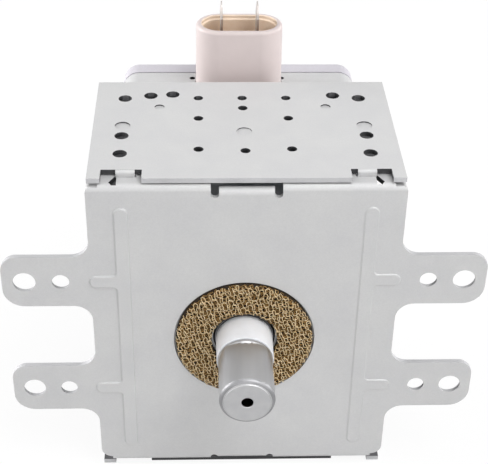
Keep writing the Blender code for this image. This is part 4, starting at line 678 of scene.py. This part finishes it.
def makeFrontPlate():
    p = plate
    wide = p["earTip"] + 2
    piece = addBlock("pressedPlate", (-wide, 0, p["low"]), (wide, p["depth"], p["high"]))
    pick(piece, "EDGE", lambda edge: middle(edge).y < 0.1 and abs(middle(edge).x) < 1)
    bpy.ops.mesh.bevel(offset=p["bend"] * mm, segments=8, affect="EDGES")
    outOfEdit()
    pick(piece, "FACE", lambda face: abs(face.normal.x) > facing or face.normal.y > facing)
    bpy.ops.mesh.delete(type="FACE")
    outOfEdit()
    applied(piece, "SOLIDIFY", thickness=p["sheet"] * mm, offset=-1, use_even_offset=True)
    combined(piece, "INTERSECT", plateOutline())
    radius, deep = p["recess"]
    outer, back = radius + p["sheet"], deep + p["sheet"]
    rings = [(p["cupHole"], p["cupRoot"]), (outer, p["cupRoot"]), (outer, deep + p["cupSlope"]),
             (radius + p["cupSlope"], back), (p["cupHole"], back)]
    combined(piece, "UNION", turned("cup", rings, centre=antenna))
    for side in (-1, 1):
        combined(piece, "UNION", makeBead(side))
    cutters = [addPeg("recess", (0, deep - over, antenna[2]), radius, 2 * over, 96),
               addPeg("bore", antenna, p["bore"], 3 * over, 64)]
    for side in (-1, 1):
        cutters += makeHoles(side) + makeWindows(side)
    for cutter in cutters:
        combined(piece, "DIFFERENCE", cutter)
    for side in (-1, 1):
        inset, level, reach = p["groove"]
        combined(piece, "DIFFERENCE", thickened(beadSheet(side, inset, level), reach))
    tab = p["tabCut"]
    front, back = tab["depths"]
    for low, high in ((p["low"] - tab["past"], tab["ends"][0]), (tab["ends"][1], p["high"] + tab["past"])):
        combined(piece, "DIFFERENCE", addBlock("tabCut", (-tab["half"], front, low), (tab["half"], back, high)))
    # the tab between the slots stands lower than the rest of the edge
    inside = p["slotMiddle"] - p["slotHalf"] + 0.02
    for z, drop in ((p["slotEnds"][1] + p["tabFrom"], -p["tabDrop"]), (p["slotEnds"][0] - p["tabFrom"], p["tabDrop"])):
        def onTab(point):
            place = middle(point)
            return abs(place.x) < inside and (place.z - z) * drop < 0 and abs(place.z) > p["tabZone"]

        pick(piece, "VERT", onTab)
        bpy.ops.transform.translate(value=(0, 0, drop * mm))
        outOfEdit()
    outwards(piece)
    smoothed(piece, 30, p["edge"])
    stands(piece, [zincSteel, shearedSteel, holeAndEdgePaintedShade], ["front_plate"])
    sortFaces(piece, plateMaterial)


def makeBead(side):
    p = plate
    bead = beadSheet(side, 0, p["beadRoot"])
    pick(bead, "FACE", lambda face: True)
    bpy.ops.mesh.extrude_region_move(TRANSFORM_OT_translate={"value": (0, -p["beadRoot"] * mm, 0)})
    outOfEdit()
    outwards(bead)
    pick(bead, "FACE", lambda face: face.normal.y < -facing)
    share = 1 if side < 0 else p["rightBeadShare"]
    for width, rise in p["beadProfile"]:
        bpy.ops.mesh.inset(thickness=width * mm, depth=rise * share * mm)
        bpy.ops.transform.translate(value=[part * mm for part in p["beadLean"]])
    outOfEdit()
    return bead


def makeHoles(side):
    # the ear's holes, which break out wider at the back, and the two slots beside the tabs
    p, made = plate, []
    start, wider = p["breakout"]
    for level in p["earLevels"]:
        for across, radius in (p["boltHole"], p["pinHole"]):
            rings = [(radius, -over / 2), (radius, start), (radius + wider, p["sheet"] + 0.1), (radius + wider, over)]
            made.append(turned("earHole", rings, 48, centre=(side * across, 0, level)))
    front, back = p["slotDepth"]
    rings = [(p["slotHalf"], front), (p["slotHalf"], back)]
    for end, outward in zip(p["slotEnds"], (-1, 1)):
        place = (side * p["slotMiddle"], 0, end + outward * (p["slotHalf"] + p["slotLength"]))
        made.append(turned("slot", rings, 32, push=(0, p["slotLength"]), centre=place))
    return made


window = {
    "across": (27.6, 32.7), "depths": (4.3, 6.2), "levels": ((-48, -43.6), (46.0, 50)),
    # the relief's outer corner is pushed in at its back, and after a run forwards also at its front
    "relief": (32.55, 34.5), "reliefDepths": (1.85, 4.9), "reliefPast": 0.7, "backIn": 1.65, "run": 0.95,
    "frontIn": 0.73,
    # where its walls are: x from and to, y up to, and z from
    "reliefWalls": (32.4, 34.6, 4.95, 43),
}


def makeWindows(side):
    # a window for each clinch tongue, and the three-cornered relief beside it
    w, made = window, []
    outer = w["relief"][1] - 0.5
    for low, high in w["levels"]:
        near, far = sorted(side * x for x in w["across"])
        made.append(addBlock("window", (near, w["depths"][0], low), (far, w["depths"][1], high)))
        near, far = sorted(side * x for x in w["relief"])
        front, back = w["reliefDepths"]
        relief = addBlock("relief", (near, front, low - w["reliefPast"]), (far, back, high + w["reliefPast"]))
        pick(relief, "VERT", lambda point: middle(point).y > back - 0.5 and abs(middle(point).x) > outer)
        bpy.ops.transform.translate(value=(side * -w["backIn"] * mm, 0, 0))
        outOfEdit()
        pick(relief, "FACE", lambda face: face.normal.y < -facing)
        bpy.ops.mesh.extrude_region_move(TRANSFORM_OT_translate={"value": (0, -w["run"] * mm, 0)})
        outOfEdit()
        pick(relief, "VERT", lambda point: middle(point).y < front - 0.5 and abs(middle(point).x) > outer)
        bpy.ops.transform.translate(value=(side * -w["frontIn"] * mm, 0, 0))
        outOfEdit()
        outwards(relief)
        made.append(relief)
    return made


def plateMaterial(place, normal):
    # 0 is plated, 1 sheared and 2 the painted shade on punched edges
    p = plate
    wall = abs(normal.y) < edgeOn
    nearX, farX, backY, fromZ = window["reliefWalls"]
    # the relief's walls, and below them the bore's wall, take the near-black colour: painted shade
    if nearX < abs(place.x) < farX and place.y < backY and abs(place.z) > fromZ and abs(normal.z) < edgeOn:
        return 2
    if abs(place.z) > p["upperShoulder"] - p["sheet"] - 2:
        return abs(normal.x) > facing or normal.y > facing and place.y > p["flangeFrom"]
    fromSeat = math.hypot(place.x, place.z - antenna[2])
    if fromSeat < p["recess"][0] + 3:
        return 2 * (wall and fromSeat < p["bore"] + 0.1)
    outside = abs(place.x) > p["half"] - 0.6 or abs(abs(place.x) - p["pinHole"][0]) < 3
    return wall and place.y > 0 and outside


makeYoke()
print("yoke folded, drilled and notched")
makeFrontPlate()
print("front plate pressed, with ears, beads and seat")


# output side
ceramic = {"radius": 7.6, "bore": 6.2, "front": -8.9, "root": 0.6, "edge": 0.2}


def quarter(radius, level, size, steps, forward=-1):
    # points of a rounded edge, from the side round to the face
    points = []
    for number in range(steps + 1):
        angle = math.radians(90) * number / steps
        points.append((radius - size * (1 - math.cos(angle)), level - forward * size * (1 - math.sin(angle))))
    return points


def makeCeramic():
    c = ceramic
    rings = [(c["bore"], c["root"]), (c["radius"] - c["edge"], c["root"]), (c["radius"], c["root"] - c["edge"])]
    rings += quarter(c["radius"], c["front"], c["edge"], 4) + [(c["bore"], c["front"])]
    piece = turned("outputCeramic", rings, 96, "bridged", centre=antenna)
    smoothed(piece, 40)
    stands(piece, [finish["sinteredAlumina"]], ["output_ceramic"])


cap = {
    "radius": 7.2, "wall": 0.5, "lip": (7.4, -9.1), "lipEdge": 0.25, "base": -10.2, "baseEdge": (0.2, 0.3),
    "tip": -25.6, "edge": 1.1, "step": 0.28, "vent": 1.55, "ventEdge": (0.25, 0.2),
    # how far in from the rounding and how far up, for the points of the fine step round the face
    "stepIn": (0.06, 0.16, 0.28), "stepLevels": (0.24, 0.05, 0),
    "sideDistance": 7.15, "sideCurve": 10.5, "roundBy": -19.5, "bands": 12,
}


def makeCap():
    # a lip stands on the ceramic, and the wall is pressed four-sided behind it and comes out round at the tip
    k = cap
    inner, back = k["radius"] - k["wall"], k["tip"] + k["wall"]
    lip, start = k["lip"]
    rings = [(inner, start), (lip - k["lipEdge"], start), (lip, start - k["lipEdge"]),
             (lip, k["base"] + k["baseEdge"][1]), (lip - k["baseEdge"][0], k["base"])]
    length = k["roundBy"] - k["base"]
    rings += [(k["radius"], k["base"] - 0.05 + length * step / k["bands"]) for step in range(k["bands"] + 1)]
    rings += quarter(k["radius"], k["tip"] + k["step"], k["edge"], 8)
    rings += [(k["radius"] - k["edge"] - inward, k["tip"] + rise) for inward, rise in zip(k["stepIn"], k["stepLevels"])]
    rings += [(k["vent"] + k["ventEdge"][0], k["tip"]), (k["vent"], k["tip"] + k["ventEdge"][1]), (k["vent"], back),
              (inner - k["wall"], back), (inner, k["tip"] + 2 * k["wall"])]
    piece = turned("antennaCap", rings, 160, "bridged", centre=antenna)
    outer = k["sideCurve"] - k["sideDistance"]
    for point in piece.data.vertices:
        place = local(point.co) - Vector(antenna)
        away = math.hypot(place.x, place.z)
        if away < k["radius"] - 0.1 or not k["roundBy"] < place.y < k["base"] - 0.02:
            continue
        # how far from the middle of its own quarter, and how far the quarter's flatter curve lies there
        turn = math.atan2(place.x, place.z)
        turn -= round(turn / math.radians(90)) * math.radians(90)
        flatter = -outer * math.cos(turn) + math.sqrt(k["sideCurve"] ** 2 - (outer * math.sin(turn)) ** 2)
        share = (place.y - k["roundBy"]) / (k["base"] - k["roundBy"])
        share = share * share * (3 - 2 * share)
        wanted = k["radius"] + (flatter - k["radius"]) * share
        point.co.x += place.x * (wanted / away - 1) * mm
        point.co.z += place.z * (wanted / away - 1) * mm
    smoothed(piece, 40)
    stands(piece, [capSteel, capRimPaintedShade], ["antenna_cap"])

    # faces of the rounding and the fine step take the darker colour: painted shade
    def onPaintedShadeRounding(place, normal):
        away = math.hypot(place.x, place.z - antenna[2])
        return place.y < k["tip"] + 1.5 and -0.97 < normal.y < -0.2 and away > k["radius"] - k["edge"] - 0.1

    sortFaces(piece, onPaintedShadeRounding)


gasket = {
    "outer": 18.8, "inner": 8.5, "front": -1.3, "back": 1.2, "wire": 0.1, "clearance": 0.1, "seed": 7,
    # the core: how far in from the outside or inside its points lie, and how deep
    "coreOuter": (0.5, 0.3, 0.8), "coreInner": (0.7, 0.35, 0.5), "waist": 0.4, "coreDepth": 1.15,
    "layers": [
        # name, depth behind the front, angle of the rows, material
        ("gasketKnitLow", 0.9, 1.0, "knittedBrassInShade"),
        ("gasketKnitMiddle", 0.62, 1.85, "knittedBrassInShade"),
        ("gasketKnitTop", 0.34, 0.25, "knittedBrassWire"),
    ],
    "pitch": 1.8, "rowStep": 1.45, "pointsPerLoop": 9, "hook": 0.24, "loopShare": 0.62, "loopRise": 0.13,
    "wanderScale": 0.8, "layerScale": 5, "wander": (0.75, 0.9, 0.3), "roundedOver": 1.1, "roundedBy": 0.5,
}


def makeGasket():
    g = gasket
    top = g["front"] + g["coreDepth"]
    levels = (g["back"], g["waist"], top)
    rings = [(g["outer"] - inward, level) for inward, level in zip(g["coreOuter"], levels)]
    rings += [(g["inner"] + inward, level) for inward, level in zip(g["coreInner"], reversed(levels))]
    # the core is a near-black ring beneath the knit, a dark sheet that paints the shade between the wires
    core = turned("gasketPaintedShadeCore", rings[-1:] + rings[:-1], 96, "bridged", centre=antenna)
    smoothed(core, 40)
    stands(core, [finish["knitCorePaintedShade"]], ["rf_gasket"])
    dice = random.Random(g["seed"])
    for name, depth, angle, material in g["layers"]:
        knit = knitted(name, g["front"] + depth, angle, dice)
        stands(knit, [finish[material]], [])


def knitted(name, level, angle, dice):
    # rows of wire loops, each a wave that doubles back on itself and hooks into the next row. The mesh was
    # crumpled into the ring, so the rows wander
    g = gasket
    curve = bpy.data.curves.new(name, "CURVE")
    curve.dimensions = "3D"
    curve.bevel_depth = g["wire"] * mm
    curve.bevel_resolution = 0
    run = []

    def finishRun():
        if len(run) > 4:
            spline = curve.splines.new("POLY")
            spline.points.add(len(run) - 1)
            for point, place in zip(spline.points, run):
                point.co = (*place, 1)
        run.clear()

    innermost = g["inner"] + g["wire"] + g["clearance"]
    outermost = g["outer"] - g["wire"] - g["clearance"]
    step = g["pitch"] / g["pointsPerLoop"]
    count = int(2 * g["outer"] / step)
    across = -g["outer"] + g["rowStep"] * dice.random()
    while across < g["outer"]:
        offset = dice.random() * 2 * math.pi
        for number in range(count):
            along = -g["outer"] + number * step
            phase = 2 * math.pi * number / g["pointsPerLoop"] + offset
            where = Vector((along * g["wanderScale"], across * g["wanderScale"], level * g["layerScale"]))
            astray = [share * part for share, part in zip(g["wander"], noise.noise_vector(where))]
            u = along + g["hook"] * math.sin(2 * phase) + astray[0]
            v = across + g["loopShare"] * g["rowStep"] * math.cos(phase) + astray[1]
            x, z = u * math.cos(angle) - v * math.sin(angle), u * math.sin(angle) + v * math.cos(angle)
            away = math.hypot(x, z)
            if not innermost < away < outermost:
                finishRun()
                continue
            # the ring's edges are rounded over
            edge = min(g["outer"] - away, away - g["inner"])
            sunk = g["roundedBy"] * max(0, 1 - edge / g["roundedOver"]) ** 2
            lift = max(level + g["loopRise"] * math.cos(2 * phase) + astray[2], g["front"] + g["wire"]) + sunk
            run.append(at(x, lift, antenna[2] + z))
        finishRun()
        across += g["rowStep"]
    knit = bpy.data.objects.new(name, curve)
    bpy.context.scene.collection.objects.link(knit)
    only(knit)
    bpy.ops.object.convert(target="MESH")
    bpy.ops.object.shade_smooth()
    return knit


makeCeramic()
makeCap()
makeGasket()
print("ceramic, cap and knitted gasket made")


# filter box and lid
filterBox = {
    "half": (34.4, 37.3), "middle": 5.5, "front": 53.9, "back": 78.05, "corner": 5.0, "sheet": 0.8,
    "frontEdge": 1.6, "lidEdge": 1.3, "skirt": 72.15,
    # the box is drawn in under the lid's skirt, between these distances before it
    "neck": 1.1, "neckFrom": 0.65, "neckTo": 0.2,
    "opening": (-0.3, 65.05), "openingRadius": 7.3, "openingPush": 5.5, "openingLevels": (30, 50),
    "locatingHoles": [(-13.8, 68.15), (12.4, 68.15)], "locatingRadius": 0.85, "top": 42, "cutLength": 6,
}


def makeFilterBox():
    b = filterBox
    push, middleOfBox = [half - b["corner"] for half in b["half"]], (0, 0, b["middle"])
    rings = quarter(b["corner"], b["front"], b["frontEdge"], 5)[::-1]
    rings += [(b["corner"], b["skirt"] - b["neckFrom"]), (b["corner"] - b["neck"], b["skirt"] - b["neckTo"]),
              (b["corner"] - b["neck"], b["back"] - b["neck"])]
    piece = turned("filterBox", rings, 64, "open", push=push, centre=middleOfBox)
    closeEnd(piece, b["front"], -1)
    applied(piece, "SOLIDIFY", thickness=b["sheet"] * mm, offset=-1, use_even_offset=True)
    rings = [(b["openingRadius"], level) for level in b["openingLevels"]]
    cutters = [turned("opening", rings, 64, axis="Z", push=(b["openingPush"], 0), centre=(*b["opening"], 0))]
    cutters.append(addPeg("stemHole", (0, b["front"], antenna[2]), yoke["stemBore"], b["cutLength"], 64))
    for x, y in b["locatingHoles"]:
        cutters.append(addPeg("locatingHole", (x, y, b["top"]), b["locatingRadius"], b["cutLength"], 24, "Z"))
    for x, z in yoke["rivets"]:
        cutters.append(addPeg("rivetHole", (x, b["front"], z), yoke["rivetHole"], b["cutLength"], 24))
    for cutter in cutters:
        combined(piece, "DIFFERENCE", cutter)
    smoothed(piece, 35)
    stands(piece, [zincSteel, holeAndEdgePaintedShade], ["filter_box"])

    # the locating holes' walls take the near-black colour: painted shade
    def inHole(place, normal):
        return abs(normal.z) < edgeOn and any(math.hypot(place.x - x, place.y - y) < 1 for x, y in b["locatingHoles"])

    sortFaces(piece, inHole)
    rings = [(b["corner"], b["skirt"])] + quarter(b["corner"], b["back"], b["lidEdge"], 6, 1)
    lid = turned("filterLid", rings, 64, "open", push=push, centre=middleOfBox)
    closeEnd(lid, b["back"], 1)
    applied(lid, "SOLIDIFY", thickness=b["sheet"] * mm, offset=-1, use_even_offset=True)
    smoothed(lid, 35)
    stands(lid, [lidSteel], ["filter_lid"])


def closeEnd(piece, level, wanted):
    # fills the end at this depth, leaves the other one open, and has the filled end look the wanted way
    pick(piece, "EDGE", lambda edge: edge.is_boundary and abs(middle(edge).y - level) < 0.01)
    bpy.ops.mesh.edge_face_add()
    outOfEdit()
    outwards(piece)
    ends = [face for face in piece.data.polygons if len(face.vertices) > 8]
    if ends and ends[0].normal.y * wanted < 0:
        pick(piece, "FACE", lambda face: True)
        bpy.ops.mesh.flip_normals()
        outOfEdit()


makeFilterBox()
print("filter box and lid drawn")


# connector case and spades
case = {
    "middle": filterBox["opening"], "push": filterBox["openingPush"], "radius": 7.0, "bottom": 42.0, "top": 62.0,
    "wall": 2.2, "draft": 0.2, "rim": 0.9, "mouthEdge": 0.2, "ledge": 0.35, "ledgeDepth": 0.95,
}


def makeConnector():
    c = case
    middleX, middleY = c["middle"]
    outer, inner = c["radius"] - c["draft"], c["radius"] - c["wall"]
    mouth, under = inner + c["ledge"], c["top"] - c["ledgeDepth"]
    rings = [(c["radius"], c["bottom"])] + quarter(outer, c["top"], c["rim"], 8, 1)
    rings += [(mouth + c["mouthEdge"], c["top"]), (mouth, c["top"] - c["mouthEdge"]), (mouth, under),
              (inner, under - c["ledge"]), (inner, c["bottom"])]
    piece = turned("connectorCase", rings, 96, "bridged", "Z", push=(c["push"], 0), centre=(middleX, middleY, 0))
    smoothed(piece, 40)
    stands(piece, [finish["mouldedPbt"], finish["castEpoxyTan"]], ["connector_case"])

    def inSocket(place, normal):
        # measured from the line between the stadium's two centres
        x = max(-c["push"], min(c["push"], place.x - middleX)) + middleX
        return math.hypot(place.x - x, place.y - middleY) < mouth + 0.15 and place.z > c["bottom"] + 0.1

    sortFaces(piece, inSocket)


spade = {
    "spacing": 5.1, "sheet": 0.8, "width": 6.3, "tip": 68.08, "point": 1.5, "pointDrop": 2.2, "tipThin": 0.45,
    "foot": 47.6, "detent": (0.9, 6.4), "tailHalf": 1, "tailFoot": 22.5, "tailOverlap": 0.5, "edge": 0.18,
    "shadeFrom": 2.5,
}


def makeSpade(x, node):
    s, deep = spade, case["middle"][1]
    half, thick = s["width"] / 2, s["sheet"] / 2
    piece = addBlock("spadeBlade_" + node, (x - thick, deep - half, s["foot"]), (x + thick, deep + half, s["tip"]))
    pick(piece, "EDGE", lambda edge: middle(edge).z > s["tip"] - 0.1 and abs(middle(edge).y - deep) > half - 0.1)
    bpy.ops.mesh.bevel(offset=s["point"] * mm, segments=1, affect="EDGES")
    outOfEdit()
    pick(piece, "VERT", lambda point: abs(middle(point).z - s["tip"] + s["point"]) < 0.05)
    bpy.ops.transform.translate(value=(0, 0, -s["pointDrop"] * mm))
    outOfEdit()
    pick(piece, "VERT", lambda point: middle(point).z > s["tip"] - 0.1)
    bpy.ops.transform.resize(value=(s["tipThin"], 1, 1), center_override=at(x, deep, s["tip"]))
    outOfEdit()
    radius, drop = s["detent"]
    combined(piece, "DIFFERENCE", addPeg("detent", (x, deep, s["tip"] - drop), radius, over, 32, "X"))
    low, high = s["tailFoot"], s["foot"] + s["tailOverlap"]
    tail = addBlock("tail", (x - thick, deep - s["tailHalf"], low), (x + thick, deep + s["tailHalf"], high))
    combined(piece, "UNION", tail)
    smoothed(piece, 35, s["edge"], 3)
    stands(piece, [finish["tinPlatedBrass"], finish["spadeEdgePaintedShade"]], [node])

    def onPaintedShadeEdge(place, normal):
        # below the point, the narrow front edge and the rounding to its right, which take a darker colour: painted
        # shade
        return place.z < s["tip"] - s["shadeFrom"] and abs(normal.y) > 0.4 and normal.x > -0.3

    sortFaces(piece, onPaintedShadeEdge)


makeConnector()
makeSpade(case["middle"][0] - spade["spacing"], "left_spade")
makeSpade(case["middle"][0] + spade["spacing"], "right_spade")
print("connector and spades made")


# inside of the yoke
magnet = {
    "radius": 27.0, "bore": 10.0, "chamfer": 0.8, "edge": 0.2,
    "depths": {"front_magnet": (3.2, 15.24), "rear_magnet": (39.86, 51.9)},
}


def makeMagnets():
    m = magnet
    inward = m["radius"] - m["chamfer"]
    for node, (front, back) in m["depths"].items():
        rings = [(m["bore"], front), (inward, front), (m["radius"], front + m["chamfer"]),
                 (m["radius"], back - m["chamfer"]), (inward, back), (m["bore"], back)]
        piece = turned("ferriteRing_" + node, rings, 96, "bridged", centre=antenna)
        smoothed(piece, 30, m["edge"])
        stands(piece, [finish["sinteredFerrite"]], [node])


def dress(names, material):
    # the inner pieces keep their CAD meshes
    for name in names:
        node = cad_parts[name]
        node.data.materials.clear()
        node.data.materials.append(material)


makeMagnets()
dress(["cooling_fin_%d" % number for number in range(1, 6)], finish["aluminiumSheet"])
dress(["vane_%d" % number for number in range(1, 11)], finish["oxidisedCopper"])
dress(["anode_cylinder", "exhaust_tube", "antenna_lead", "front_inner_strap", "front_outer_strap", "rear_inner_strap",
       "rear_outer_strap"], finish["oxidisedCopper"])
dress(["output_sleeve", "stem_sleeve", "front_pole_piece", "rear_pole_piece"], finish["plainIron"])
dress(["exhaust_seal"] + ["box_rivet_%d" % number for number in range(1, 5)], rivetSteel)
dress(["filament", "front_end_hat", "rear_end_hat", "centre_lead", "side_lead"], finish["drawnTungsten"])
dress(["stem_ceramic"], finish["sinteredAlumina"])
dress(["capacitor_body"], finish["castEpoxyTan"])
dress(["capacitor_plate"], zincSteel)
dress(["left_stem_terminal", "right_stem_terminal"], finish["tinPlatedBrass"])
dress(["left_choke_coil", "right_choke_coil"], finish["enamelledCopperWire"])
dress(["left_choke_core", "right_choke_core"], finish["sinteredFerrite"])
print("inner pieces dressed")
